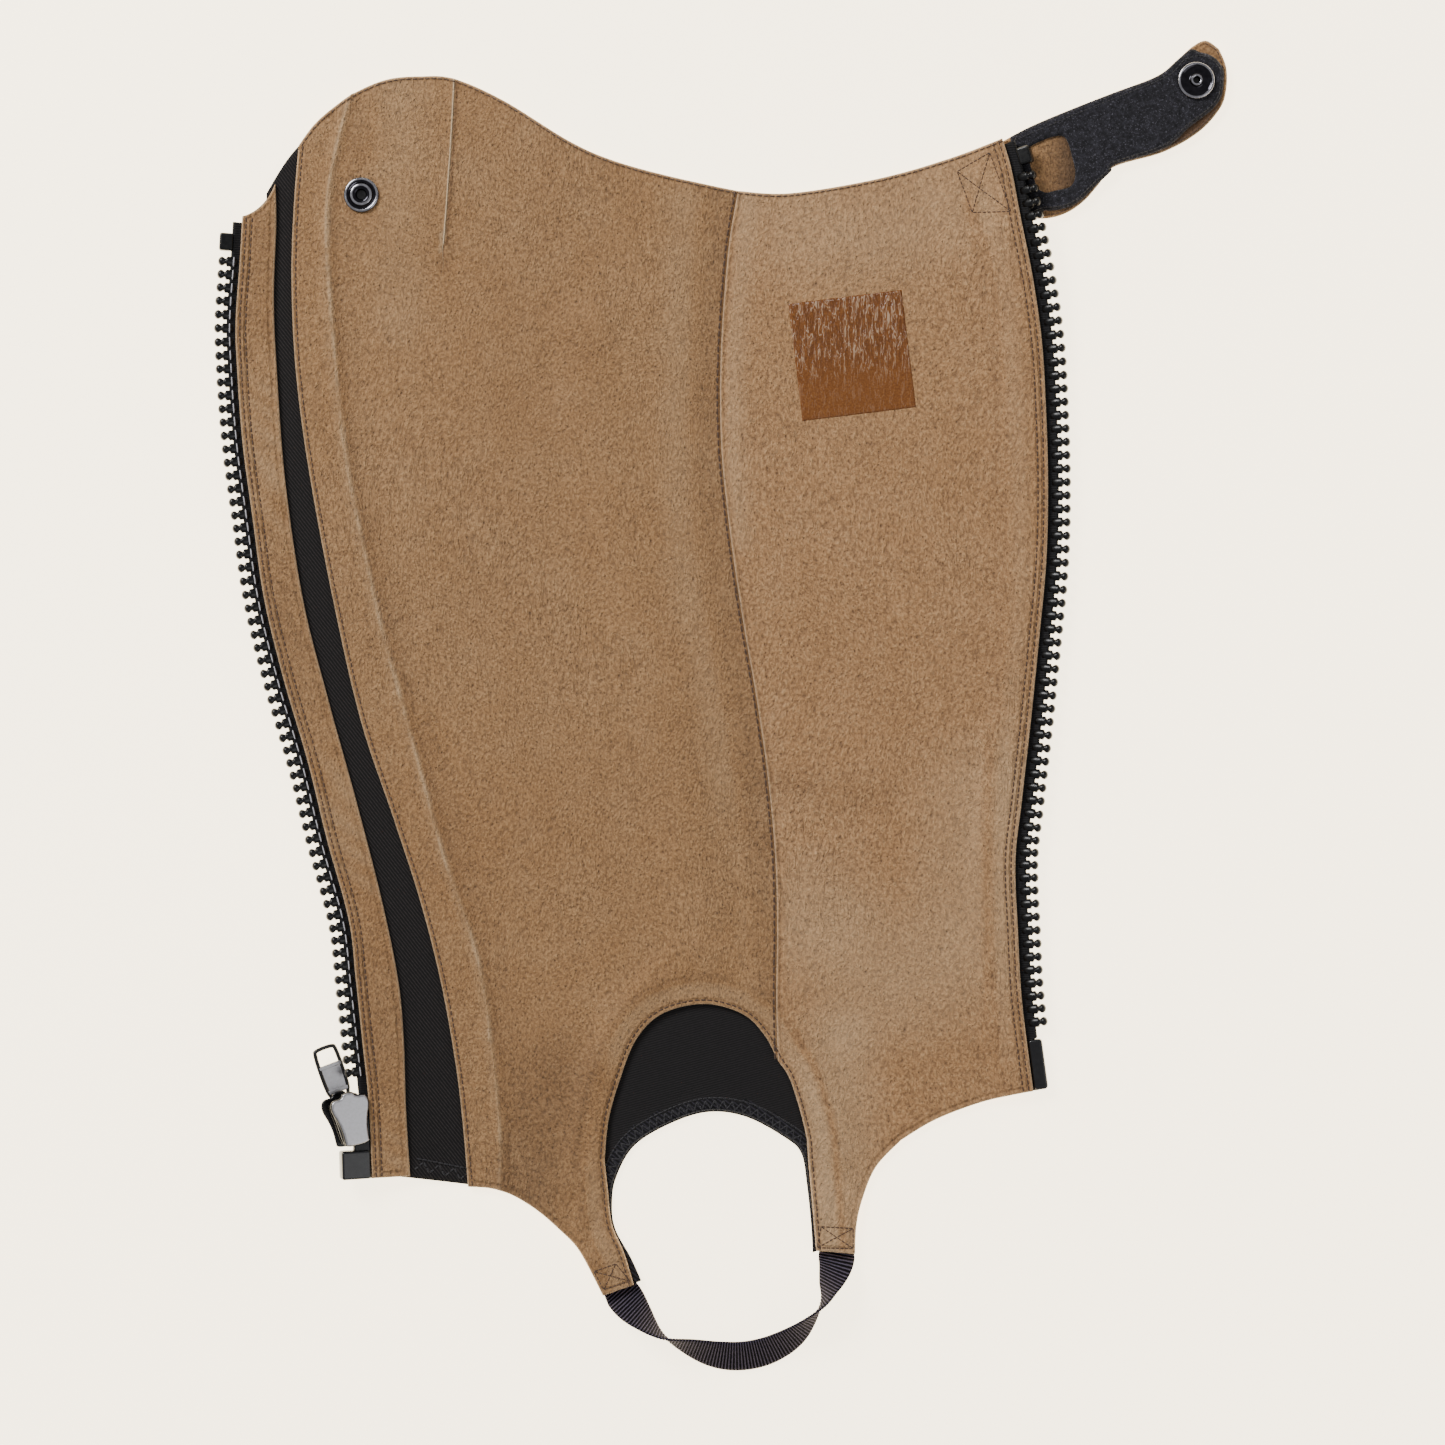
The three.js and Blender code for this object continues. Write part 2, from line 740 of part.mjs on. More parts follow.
add('stirrup_strap', strapGeometry(), webbing);

// Zip halves
const frontZip = { curve: frontEdge, outwards: -1, reach: frontZipReach };
const backZip = { curve: backEdge, outwards: 1, reach: backZipReach };
for (const zip of [frontZip, backZip]) {
  zip.length = zip.curve.getLength();
  zip.tapeEdge = zip.reach - toothLength;
}

// A place by a zip edge: how far down the edge, and how far beyond it; right, kneeward and up from there
function zipFrame(zip, down, beyond) {
  const share = down / zip.length;
  const kneeward = zip.curve.getTangentAt(share).negate();
  const right = new THREE.Vector2(kneeward.y, -kneeward.x);
  const at = zip.curve.getPointAt(share).addScaledVector(right, zip.outwards * beyond);
  const step = 0.5;
  const slopeX = (lift(at.x + step, at.y) - lift(at.x - step, at.y)) / (2 * step);
  const slopeY = (lift(at.x, at.y + step) - lift(at.x, at.y - step)) / (2 * step);
  const up = new THREE.Vector3(-slopeX, -slopeY, 1).normalize();
  const ahead = new THREE.Vector3(kneeward.x, kneeward.y, 0);
  ahead.addScaledVector(up, -ahead.dot(up)).normalize();
  const aside = ahead.clone().cross(up);
  const origin = new THREE.Vector3(at.x, at.y, lift(at.x, at.y) + fabricWall / 2);
  return new THREE.Matrix4().makeBasis(aside, ahead, up).setPosition(origin);
}

function tapeGeometry(zip, footPiece) {
  const pieceTop = zip.length - footPiece - clearance;
  const downs = [];
  const upperRows = 26;
  for (let i = 0; i <= upperRows; i += 1) downs.push((pieceTop * i) / upperRows);
  downs.push(pieceTop + clearance, zip.length);
  const low = [];
  const high = [];
  const faces = [];
  downs.forEach((down, row) => {
    const outer = down > pieceTop ? 0 : zip.tapeEdge;
    for (const beyond of [outer, -seamLap]) {
      const frame = zipFrame(zip, down, beyond);
      low.push(new THREE.Vector3(0, 0, -fabricWall / 2).applyMatrix4(frame));
      high.push(new THREE.Vector3(0, 0, fabricWall / 2).applyMatrix4(frame));
    }
    const k = row * 2;
    if (row > 0) faces.push(zip.outwards < 0 ? [k - 2, k, k + 1, k - 1] : [k - 2, k - 1, k + 1, k]);
  });
  return solidBetween(low, high, faces);
}

// Teeth on a spine along the tape's edge, each narrow at the spine and wide at its tip
function teethGeometry(zip, start, end) {
  const count = Math.floor((end - start) / toothPitch);
  const inner = zip.tapeEdge + clearance;
  const stem = inner + spineWidth;
  const low = [];
  const high = [];
  const faces = [];
  const put = (down, beyond) => {
    const frame = zipFrame(zip, down, beyond);
    low.push(new THREE.Vector3(0, 0, -toothThickness / 2).applyMatrix4(frame));
    high.push(new THREE.Vector3(0, 0, toothThickness / 2).applyMatrix4(frame));
  };
  put(start, inner);
  put(start, stem);
  for (let i = 0; i < count; i += 1) {
    const down = start + i * toothPitch;
    put(down + toothPitch * (0.5 - toothRoot), stem);
    put(down + toothPitch * (0.5 + toothRoot), stem);
    put(down + toothPitch * (0.5 - toothTip), zip.reach);
    put(down + toothPitch * (0.5 + toothTip), zip.reach);
    put(down + toothPitch, inner);
    put(down + toothPitch, stem);
    const k = i * 6;
    const spine = [k, k + 6, k + 7, k + 3, k + 2, k + 1];
    const tooth = [k + 2, k + 3, k + 5, k + 4];
    for (const face of [spine, tooth]) faces.push(zip.outwards < 0 ? face.reverse() : face);
  }
  return solidBetween(low, high, faces);
}

function block(width, length, thickness, corner) {
  const shape = new THREE.Shape();
  shape.moveTo(-width / 2 + corner, -length / 2);
  shape.lineTo(width / 2 - corner, -length / 2);
  shape.lineTo(width / 2, -length / 2 + corner);
  shape.lineTo(width / 2, length / 2 - corner);
  shape.lineTo(width / 2 - corner, length / 2);
  shape.lineTo(-width / 2 + corner, length / 2);
  shape.lineTo(-width / 2, length / 2 - corner);
  shape.lineTo(-width / 2, -length / 2 + corner);
  shape.closePath();
  const geometry = new THREE.ExtrudeGeometry(shape, { depth: thickness, bevelEnabled: false });
  return geometry.translate(0, 0, -thickness / 2);
}

function addZip(side, zip, teethStart, teethEnd, footPiece, stopCentre) {
  add(`${side}_zip_tape`, tapeGeometry(zip, footPiece), webbing);
  add(`${side}_zip_teeth`, teethGeometry(zip, teethStart, zip.length - teethEnd), moulded);
  const stop = add(`${side}_top_stop`, block(stopWidth, stopLength, toothThickness, 0.6), moulded);
  stop.applyMatrix4(zipFrame(zip, stopCentre, zip.tapeEdge + clearance + stopWidth / 2));
}

addZip('front', frontZip, frontTeethStart, frontTeethEnd, retainerLength, frontStopCentre);
addZip('back', backZip, backTeethStart, backTeethEnd, pinLength, backStopCentre);

const retainer = add('retainer_box', block(retainerWidth, retainerLength, retainerThickness, 0.8), moulded);
retainer.applyMatrix4(zipFrame(
  frontZip,
  frontZip.length - retainerLength / 2,
  2 * clearance + retainerWidth / 2,
));
const pin = add('insertion_pin', block(pinWidth, pinLength, pinThickness, 0.9), moulded);
pin.applyMatrix4(zipFrame(backZip, backZip.length - pinLength / 2, 2 * clearance + pinWidth / 2));

// Slider: two plates on a wedge, with side lips, and the bridge under the lower plate
const sliderOutline = [
  { aside: 0.3, ahead: -0.5 },
  { aside: 0.32, ahead: -0.2 },
  { aside: 0.39, ahead: 0 },
  { aside: 0.48, ahead: 0.17 },
  { aside: 0.5, ahead: 0.3 },
  { aside: 0.42, ahead: 0.41 },
  { aside: 0.18, ahead: 0.41 },
  { aside: 0.14, ahead: 0.5 },
];

function solidOf(geometry) {
  const plain = geometry.index ? geometry.toNonIndexed() : geometry;
  const position = plain.getAttribute('position');
  const vertProperties = [];
  const triVerts = [];
  const known = new Map();
  for (let i = 0; i < position.count; i += 1) {
    const corner = [position.getX(i), position.getY(i), position.getZ(i)];
    const key = corner.map((value) => Math.round(value * 1e4)).join('/');
    if (!known.has(key)) {
      known.set(key, known.size);
      vertProperties.push(...corner);
    }
    triVerts.push(known.get(key));
  }
  return new wasm.Manifold(new wasm.Mesh({
    numProp: 3,
    vertProperties: new Float32Array(vertProperties),
    triVerts: new Uint32Array(triVerts),
  }));
}

function geometryOf(solid) {
  const mesh = solid.getMesh();
  const geometry = new THREE.BufferGeometry();
  geometry.setAttribute('position', new THREE.BufferAttribute(new Float32Array(mesh.vertProperties), 3));
  geometry.setIndex(new THREE.BufferAttribute(new Uint32Array(mesh.triVerts), 1));
  return geometry;
}

function extruded(points, low, high) {
  const shape = new THREE.Shape(points);
  return new THREE.ExtrudeGeometry(shape, { depth: high - low, bevelEnabled: false }).translate(0, 0, low);
}

function box(width, length, height, x, y, z) {
  return new THREE.BoxGeometry(width, length, height).translate(x, y, z);
}

function sliderGeometry() {
  const half = sliderOutline.map((row) => new THREE.Vector2(row.aside * sliderWidth, row.ahead * sliderLength));
  const outline = [...half, ...half.map((point) => new THREE.Vector2(-point.x, point.y)).reverse()];
  const inMouth = sliderMouth / 2;
  const outside = inMouth + sliderPlate;
  let solid = solidOf(extruded(outline, inMouth, outside))
    .add(solidOf(extruded(outline, -outside, -inMouth)));
  const wedgeHalf = 2;
  const wedge = [
    new THREE.Vector2(0, 1.2),
    new THREE.Vector2(wedgeHalf, 8.5),
    new THREE.Vector2(-wedgeHalf, 8.5),
  ];
  solid = solid.add(solidOf(extruded(wedge, -outside, outside)));
  const tapeSlot = fabricWall / 2 + 2 * clearance;
  const lipInset = 0.8;
  const lipWidth = 1.1;
  const intoPlate = 0.2;
  const lipHeight = inMouth + intoPlate - tapeSlot;
  for (const side of [-1, 1]) {
    const lip = half.slice(1, 5).map((point) => new THREE.Vector2(side * (point.x - lipInset), point.y));
    const inside = lip.map((point) => point.clone().setX(point.x - side * lipWidth)).reverse();
    const loop = [...lip, ...inside];
    if (THREE.ShapeUtils.area(loop) < 0) loop.reverse();
    solid = solid.add(solidOf(extruded(loop, tapeSlot, tapeSlot + lipHeight)));
    solid = solid.add(solidOf(extruded(loop, -tapeSlot - lipHeight, -tapeSlot)));
  }
  const bridge = box(bridgeWidth, bridgeLength, bridgeRoom + 2 * bridgeWall, 0, 0, -outside - bridgeRoom / 2);
  const under = box(bridgeWidth * 2, bridgeLength - 2 * bridgeWall, bridgeRoom, 0, 0, -outside - bridgeRoom / 2);
  return geometryOf(solid.add(solidOf(bridge).subtract(solidOf(under))));
}

const sliderFrame = zipFrame(frontZip, frontZip.length - sliderFromFoot, sliderBeyondEdge)
  .multiply(new THREE.Matrix4().makeRotationZ(THREE.MathUtils.degToRad(sliderLean)));
add('zip_slider', sliderGeometry(), nickel).applyMatrix4(sliderFrame);

// Pull: its end bar sits in the bridge, and it lies up beside the teeth with its tip near the floor
function pullGeometry() {
  const eyeHalf = eyeWidth / 2 + eyeWall;
  const half = pullWidth / 2;
  const tip = pullLength - pullBar / 2;
  const neckEnd = eyeLength - 2;
  const shoulder = eyeLength + 1;
  const cornerCut = 1.6;
  const outline = [
    new THREE.Vector2(-eyeHalf, -pullBar / 2),
    new THREE.Vector2(eyeHalf, -pullBar / 2),
    new THREE.Vector2(eyeHalf, neckEnd),
    new THREE.Vector2(half, shoulder),
    new THREE.Vector2(half, tip - cornerCut),
    new THREE.Vector2(half - cornerCut, tip),
    new THREE.Vector2(-half + cornerCut, tip),
    new THREE.Vector2(-half, tip - cornerCut),
    new THREE.Vector2(-half, shoulder),
    new THREE.Vector2(-eyeHalf, neckEnd),
  ];
  const windowWidth = 6.1;
  const windowLength = 5;
  const windowFromTip = 2.2;
  const body = solidOf(extruded(outline, -pullThickness / 2, pullThickness / 2));
  const eye = box(eyeWidth, eyeLength - pullBar, 2 * pullThickness, 0, eyeLength / 2, 0);
  const gap = box(windowWidth, windowLength, 2 * pullThickness, 0, tip - windowFromTip - windowLength / 2, 0);
  return geometryOf(body.subtract(solidOf(eye)).subtract(solidOf(gap)));
}

const barAhead = bridgeLength / 2 - bridgeWall - pullBar;
const barHeight = -(sliderMouth / 2 + sliderPlate) - bridgeRoom / 2;
const pullFrame = sliderFrame.clone()
  .multiply(new THREE.Matrix4().makeTranslation(0, barAhead, barHeight))
  .multiply(new THREE.Matrix4().makeRotationZ(THREE.MathUtils.degToRad(pullLean)))
  .multiply(new THREE.Matrix4().makeRotationX(THREE.MathUtils.degToRad(-pullTip)));
add('pull_tab', pullGeometry(), nickel).applyMatrix4(pullFrame);

// Closing tab
const tabLevel = capWall + clearance;
const underLeather = 0.45;

function tabLow(x, y) {
  const inside = acrossAt(backEdgePoints, y) - x;
  if (inside < 0) return tabLevel;
  return THREE.MathUtils.clamp(leatherLow(x, y) - tabWall - underLeather, 0, tabLevel);
}

function tabGrid() {
  const stations = 18;
  const upper = through(tabUpper, tabNose.slice(0, 2)).getSpacedPoints(stations);
  const lower = through(tabNose.slice(2), tabLower).getSpacedPoints(stations).reverse();
  const rows = between(upper, lower, [0, 0.25, 0.5, 0.75, 1]);
  const tuckedEnd = tabTuckedEnd.map(plan);
  const mouth = rows[0];
  for (const share of [0.35, 0.7, 1]) {
    rows.unshift(mouth.map((point, column) => {
      const end = tuckedEnd[0].clone().lerp(tuckedEnd[1], column / (mouth.length - 1));
      return point.clone().lerp(end, share);
    }));
  }
  return rows;
}

add('tab_leather', wallOver([tabGrid()], tabLow, tabWall), leather);

function tabBackingGeometry() {
  const shape = new THREE.Shape(backingOutline.map(plan).reverse());
  shape.holes.push(new THREE.Path(backingWindow.map(plan)));
  const geometry = new THREE.ExtrudeGeometry(shape, { depth: backingWall, bevelEnabled: false });
  return geometry.translate(0, 0, tabLevel + tabWall + clearance);
}

add('tab_backing', tabBackingGeometry(), suede);

// Press stud halves, turned shapes with closed profiles
const turnSides = 20;

function turned(profile) {
  const points = profile.map((row) => new THREE.Vector2(row.radius, row.height));
  points.push(points[0].clone());
  return new THREE.LatheGeometry(points, turnSides).rotateX(Math.PI / 2);
}

function turnedSolid(profile) {
  const geometry = turned(profile);
  const solid = solidOf(geometry);
  return geometryOf(solid.volume() < 0 ? solidOf(turned([...profile].reverse())) : solid);
}

const socketProfile = [
  { radius: socketHole, height: 0 },
  { radius: socketRadius, height: 0 },
  { radius: socketRadius, height: 0.35 * socketHeight },
  { radius: socketRadius - 0.6, height: 0.6 * socketHeight },
  { radius: socketRadius - 1.5, height: 0.45 * socketHeight },
  { radius: socketHole + 2.6, height: 0.6 * socketHeight },
  { radius: socketHole + 2, height: socketHeight },
  { radius: socketHole + 0.7, height: 0.95 * socketHeight },
  { radius: socketHole, height: 0.7 * socketHeight },
];
const studProfile = [
  { radius: studHole, height: 0 },
  { radius: studRadius, height: 0 },
  { radius: studRadius, height: 0.3 * studHeight },
  { radius: studRadius - 0.7, height: 0.5 * studHeight },
  { radius: studRadius - 2.2, height: 0.3 * studHeight },
  { radius: studPost, height: 0.3 * studHeight },
  { radius: studPost, height: 0.85 * studHeight },
  { radius: studPost - 0.4, height: studHeight },
  { radius: studHole, height: studHeight },
];

function capGeometry() {
  const cap = new THREE.CylinderGeometry(capRadius, capRadius - capBevel, capWall, turnSides);
  return cap.rotateX(Math.PI / 2).translate(0, 0, capWall / 2);
}

const socketLevel = capWall + leatherWall + 2 * clearance;
const studLevel = tabLevel + tabWall + backingWall + 2 * clearance;
const socket = add('snap_socket', turnedSolid(socketProfile), gunmetal);
socket.position.set(socketCentre.x, socketCentre.y, socketLevel);
const socketCap = add('socket_cap', capGeometry(), gunmetal);
socketCap.position.set(socketCentre.x, socketCentre.y, 0);
const stud = add('snap_stud', turnedSolid(studProfile), gunmetal);
stud.position.set(studCentre.x, studCentre.y, studLevel);
const studCap = add('stud_cap', capGeometry(), gunmetal);
studCap.position.set(studCentre.x, studCentre.y, 0);

// Label patch, left bare
const label = add('label_patch', block(labelWidth, labelHeight, labelWall, 0.5), film);
label.position.set(labelCentre.x, labelCentre.y, leatherWall + clearance + labelWall / 2);
label.rotation.z = THREE.MathUtils.degToRad(-labelTilt);

// The origin is under the middle of the whole, on the floor
group.updateMatrixWorld(true);
const bounds = new THREE.Box3().setFromObject(group, true);
const middle = bounds.getCenter(new THREE.Vector3());
group.position.set(-middle.x, -middle.y, -bounds.min.z);

export default group;
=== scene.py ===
# Half chap laid open on its outer side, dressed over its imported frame.
# Shapes are worked out in millimetres from the leather's front edge and its foot, and turned to metres in the mesh.
import math

import bpy
import numpy as np
from mathutils.geometry import delaunay_2d_cdt
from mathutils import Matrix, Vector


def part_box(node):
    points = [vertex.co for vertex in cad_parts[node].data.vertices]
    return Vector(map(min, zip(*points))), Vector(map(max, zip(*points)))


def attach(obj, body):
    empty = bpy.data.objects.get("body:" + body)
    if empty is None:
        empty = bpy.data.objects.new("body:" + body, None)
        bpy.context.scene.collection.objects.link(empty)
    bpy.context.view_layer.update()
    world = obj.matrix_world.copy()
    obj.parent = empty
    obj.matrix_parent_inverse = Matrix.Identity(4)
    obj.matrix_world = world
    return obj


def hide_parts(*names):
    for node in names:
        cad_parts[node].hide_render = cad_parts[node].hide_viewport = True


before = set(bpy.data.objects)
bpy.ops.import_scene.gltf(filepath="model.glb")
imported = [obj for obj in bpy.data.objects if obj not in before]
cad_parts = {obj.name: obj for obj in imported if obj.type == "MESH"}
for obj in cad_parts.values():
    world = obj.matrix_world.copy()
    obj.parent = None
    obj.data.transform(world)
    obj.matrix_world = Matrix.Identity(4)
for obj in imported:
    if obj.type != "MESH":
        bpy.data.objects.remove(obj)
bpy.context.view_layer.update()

chap = {
    "width": 313.0,
    "height": 469.0,
    "leather": 1.8,
    "fabric": 1.0,
    "room": 0.3,
    "lap": 5.5,
    "lapFlat": 7.5,
    "lapFade": 12.0,
    "hem": 0.28,
}
curling = {
    "zip": 2.0,
    "width": 35.0,
    "slider": 3.0,
    "sliderReach": 95.0,
    "tab": 3.1,
    "tabReach": 90.0,
}


def plan(rows):
    return np.array(rows, float) * (chap["width"], chap["height"])


def runOf(points):
    # The way travelled along a polyline at each of its points
    return np.r_[0, np.cumsum(np.linalg.norm(np.diff(points, axis=0), axis=1))]


def lengthOf(points):
    return float(np.linalg.norm(np.diff(points, axis=0), axis=1).sum())


def evenly(points, shares):
    # A polyline's points at the given shares of its length
    steps = runOf(points)
    wanted = np.asarray(shares) * steps[-1]
    return np.stack([np.interp(wanted, steps, points[:, k]) for k in range(points.shape[1])], axis=1)


def resampled(points, count):
    return evenly(points, np.linspace(0, 1, count))


def unit(rows):
    # Each row as a direction of length one
    return rows / np.maximum(np.linalg.norm(rows, axis=1), 1e-9)[:, None]


def cubic(p, t):
    # A smooth curve through rows, at a parameter that grows by one from row to row: each span leans at its ends
    # along the chord of the neighbours
    n = len(p) - 1
    i = np.minimum(t.astype(int), n - 1)
    f = (t - i)[:, None]
    before, start, end, after = p[np.maximum(i - 1, 0)], p[i], p[i + 1], p[np.minimum(i + 2, n)]
    leanIn, leanOut = (end - before) / 2, (after - start) / 2
    curved = (2 * start - 2 * end + leanIn + leanOut) * f**3
    return curved + ((3 * end - 3 * start - 2 * leanIn - leanOut) * f**2 + leanIn * f + start)


def through(rows, count=801):
    # A smooth curve through an outline's rows, at even steps
    p = plan(rows)
    return resampled(cubic(p, np.linspace(0, len(p) - 1, (len(p) - 1) * 60 + 1)), count)


# The outlines, as shares of the leather's width and height
lines = {
    "kneeFrontShort": [(0.078, 0.943), (0.101, 0.963), (0.141, 0.984)],
    "kneeFrontLong": [(0.141, 0.984), (0.184, 0.997), (0.227, 1.0), (0.269, 0.998), (0.33, 0.98), (0.41, 0.947),
                      (0.464, 0.931), (0.534, 0.918), (0.618, 0.906)],
    "kneeInner": [(0.618, 0.906), (0.682, 0.904), (0.784, 0.915), (0.873, 0.931), (0.942, 0.947)],
    "frontEdge": [(0.009, 0.884), (0.006, 0.849), (0.001, 0.8), (0.002, 0.767), (0.009, 0.701), (0.022, 0.635),
                  (0.036, 0.57), (0.06, 0.504), (0.089, 0.438), (0.113, 0.373), (0.14, 0.307), (0.149, 0.258),
                  (0.157, 0.209), (0.165, 0.159), (0.169, 0.096)],
    "stripBack": [(0.049, 0.911), (0.05, 0.878), (0.047, 0.816), (0.051, 0.755), (0.061, 0.668), (0.083, 0.57),
                  (0.114, 0.488), (0.148, 0.406), (0.18, 0.323), (0.2, 0.258), (0.207, 0.209), (0.21, 0.151),
                  (0.215, 0.097)],
    "gussetBack": [(0.078, 0.943), (0.072, 0.894), (0.069, 0.833), (0.074, 0.759), (0.09, 0.677), (0.12, 0.57),
                   (0.154, 0.471), (0.195, 0.389), (0.227, 0.323), (0.252, 0.258), (0.27, 0.192), (0.279, 0.143),
                   (0.286, 0.088)],
    "frontRidge": [(0.141, 0.984), (0.122, 0.93), (0.114, 0.887), (0.117, 0.817), (0.137, 0.687), (0.17, 0.578),
                   (0.208, 0.479), (0.256, 0.363), (0.297, 0.278), (0.315, 0.204), (0.325, 0.135), (0.325, 0.085)],
    "seam": [(0.618, 0.906), (0.606, 0.857), (0.597, 0.775), (0.597, 0.701), (0.607, 0.631), (0.624, 0.553),
             (0.641, 0.488), (0.655, 0.422), (0.664, 0.356), (0.666, 0.299), (0.665, 0.241), (0.667, 0.192)],
    "backEdge": [(0.942, 0.947), (0.953, 0.923), (0.965, 0.882), (0.98, 0.833), (0.991, 0.783), (0.996, 0.734),
                 (0.999, 0.668), (0.997, 0.603), (0.988, 0.537), (0.978, 0.471), (0.967, 0.406), (0.959, 0.356),
                 (0.962, 0.299), (0.967, 0.241), (0.981, 0.167)],
    "footFrontShort": [(0.286, 0.088), (0.325, 0.085)],
    "footFront": [(0.325, 0.085), (0.365, 0.071), (0.399, 0.052), (0.424, 0.034), (0.452, -0.001)],
    "frontLegEnd": [(0.452, -0.001), (0.49, 0.008)],
    "frontLegInner": [(0.49, 0.008), (0.478, 0.034), (0.463, 0.057), (0.458, 0.085), (0.454, 0.11)],
    "archFront": [(0.454, 0.11), (0.459, 0.143), (0.473, 0.176), (0.493, 0.209), (0.525, 0.23), (0.576, 0.238),
                  (0.623, 0.23), (0.65, 0.213), (0.667, 0.192)],
    "archBack": [(0.667, 0.192), (0.682, 0.176), (0.697, 0.144), (0.703, 0.126)],
    "backLegInner": [(0.703, 0.126), (0.705, 0.106), (0.709, 0.077), (0.714, 0.036)],
    "backLegEnd": [(0.714, 0.036), (0.762, 0.033)],
    "backLegOuter": [(0.819, 0.126), (0.788, 0.104), (0.771, 0.077), (0.764, 0.057), (0.762, 0.033)],
    "footBack": [(0.819, 0.126), (0.862, 0.143), (0.922, 0.158), (0.981, 0.167)],
    "frontCut": [(0.325, 0.085), (0.454, 0.11)],
    "backCut": [(0.703, 0.126), (0.819, 0.126)],
    "archHem": [(0.499, 0.011), (0.486, 0.03), (0.467, 0.053), (0.463, 0.073), (0.468, 0.095), (0.49, 0.121),
                (0.533, 0.139), (0.581, 0.149), (0.628, 0.145), (0.676, 0.128), (0.696, 0.115), (0.703, 0.089),
                (0.708, 0.057), (0.71, 0.034)],
}
curve = {name: through(rows) for name, rows in lines.items()}


def splitAt(points, place):
    k = int(np.linalg.norm(points - plan(place), axis=1).argmin())
    return resampled(points[: k + 1], 801), resampled(points[k:], 801)


kneeFront = through(lines["kneeFrontShort"] + lines["kneeFrontLong"][1:], 2401)
curve["kneeFrontShort"], curve["kneeFrontLong"] = splitAt(kneeFront, lines["kneeFrontLong"][0])
footFront = through(lines["footFrontShort"] + lines["footFront"][1:], 2401)
curve["footFrontShort"], curve["footFront"] = splitAt(footFront, lines["footFront"][0])
archTop = through(lines["archFront"] + lines["archBack"][1:], 2401)
curve["archFront"], curve["archBack"] = splitAt(archTop, lines["archBack"][0])
curve["frontRidge"][0], curve["frontRidge"][-1] = curve["kneeFrontLong"][0], curve["footFront"][0]
curve["seam"][-1] = curve["archBack"][0]
curve["frontCut"][0] = curve["footFront"][0]
opening = np.concatenate([curve[n] for n in ("frontLegInner", "archFront", "archBack", "backLegInner")])
opening = resampled(opening, 801)

# Folds and creases in the leather: how high and how wide each is, in millimetres
folds = [
    {"line": lines["frontRidge"], "rise": 1.1, "reach": 5.0},
    {"line": [(0.43, 0.791), (0.448, 0.677), (0.498, 0.57), (0.541, 0.455), (0.565, 0.356), (0.569, 0.282)],
     "rise": 1.6, "reach": 17.0},
    {"line": [(0.429, 0.102), (0.434, 0.159), (0.468, 0.223), (0.5, 0.25), (0.564, 0.281), (0.633, 0.259),
              (0.698, 0.214), (0.731, 0.155), (0.75, 0.118)], "rise": 1.3, "reach": 10.0},
    {"line": [(0.931, 0.867), (0.949, 0.787), (0.956, 0.693), (0.954, 0.586), (0.944, 0.488), (0.928, 0.406),
              (0.918, 0.337), (0.927, 0.282)], "rise": 0.9, "reach": 8.0},
]
creases = [
    {"line": [(0.269, 1.0), (0.265, 0.948), (0.26, 0.898), (0.256, 0.863)], "rise": 0.55, "reach": 1.7},
    {"line": [(0.2535, 0.866), (0.254, 0.853), (0.261, 0.848), (0.279, 0.849)], "rise": -0.4, "reach": 3.0},
    {"line": lines["frontRidge"], "rise": 0.35, "reach": 1.7},
    {"line": [(0.147, 0.98), (0.129, 0.93), (0.122, 0.887), (0.125, 0.817), (0.146, 0.687), (0.179, 0.578),
              (0.217, 0.479), (0.264, 0.363), (0.305, 0.278), (0.323, 0.204)], "rise": -0.45, "reach": 4.0},
    {"line": [(0.431, 0.151), (0.424, 0.11), (0.416, 0.074)], "rise": -0.55, "reach": 3.2},
    {"line": [(0.456, 0.08), (0.446, 0.067), (0.437, 0.053)], "rise": -0.5, "reach": 2.4},
    {"line": [(0.703, 0.102), (0.719, 0.091), (0.735, 0.076)], "rise": -0.5, "reach": 2.2},
    {"line": [(0.575, 0.287), (0.584, 0.277), (0.595, 0.267)], "rise": -0.45, "reach": 2.2},
    {"line": [(0.562, 0.292), (0.555, 0.281), (0.547, 0.267)], "rise": -0.4, "reach": 2.4},
    {"line": [(0.545, 0.276), (0.533, 0.27), (0.518, 0.261)], "rise": -0.4, "reach": 2.2},
    {"line": [(0.6, 0.279), (0.613, 0.267), (0.63, 0.257)], "rise": -0.35, "reach": 2.2},
    {"line": [(0.644, 0.258), (0.655, 0.25), (0.664, 0.247)], "rise": -0.35, "reach": 2.2},
    {"line": [(0.44, 0.205), (0.452, 0.226), (0.47, 0.243), (0.49, 0.258)], "rise": -0.35, "reach": 3.0},
    {"line": [(0.598, 0.9), (0.588, 0.82), (0.583, 0.72), (0.59, 0.63), (0.607, 0.55), (0.63, 0.46), (0.65, 0.36)],
     "rise": -0.7, "reach": 11.0},
    {"line": [(0.94, 0.85), (0.955, 0.787), (0.963, 0.693), (0.96, 0.586), (0.951, 0.488), (0.936, 0.406),
              (0.926, 0.337), (0.936, 0.25)], "rise": -0.35, "reach": 2.6},
    {"line": [(0.66, 0.407), (0.7, 0.402), (0.76, 0.398)], "rise": -0.5, "reach": 15.0},
    {"line": [(0.7, 0.21), (0.722, 0.18), (0.737, 0.15), (0.745, 0.12)], "rise": -0.35, "reach": 3.0},
]


def bump(share):
    return np.maximum(0, 1 - share * share) ** 2


def plateau(distance, flat, fade):
    # 1 up to the edge of a plateau, then an S-shaped fall to 0
    share = np.clip((distance - flat) / fade, 0, 1)
    return 1 - share * share * (3 - 2 * share)


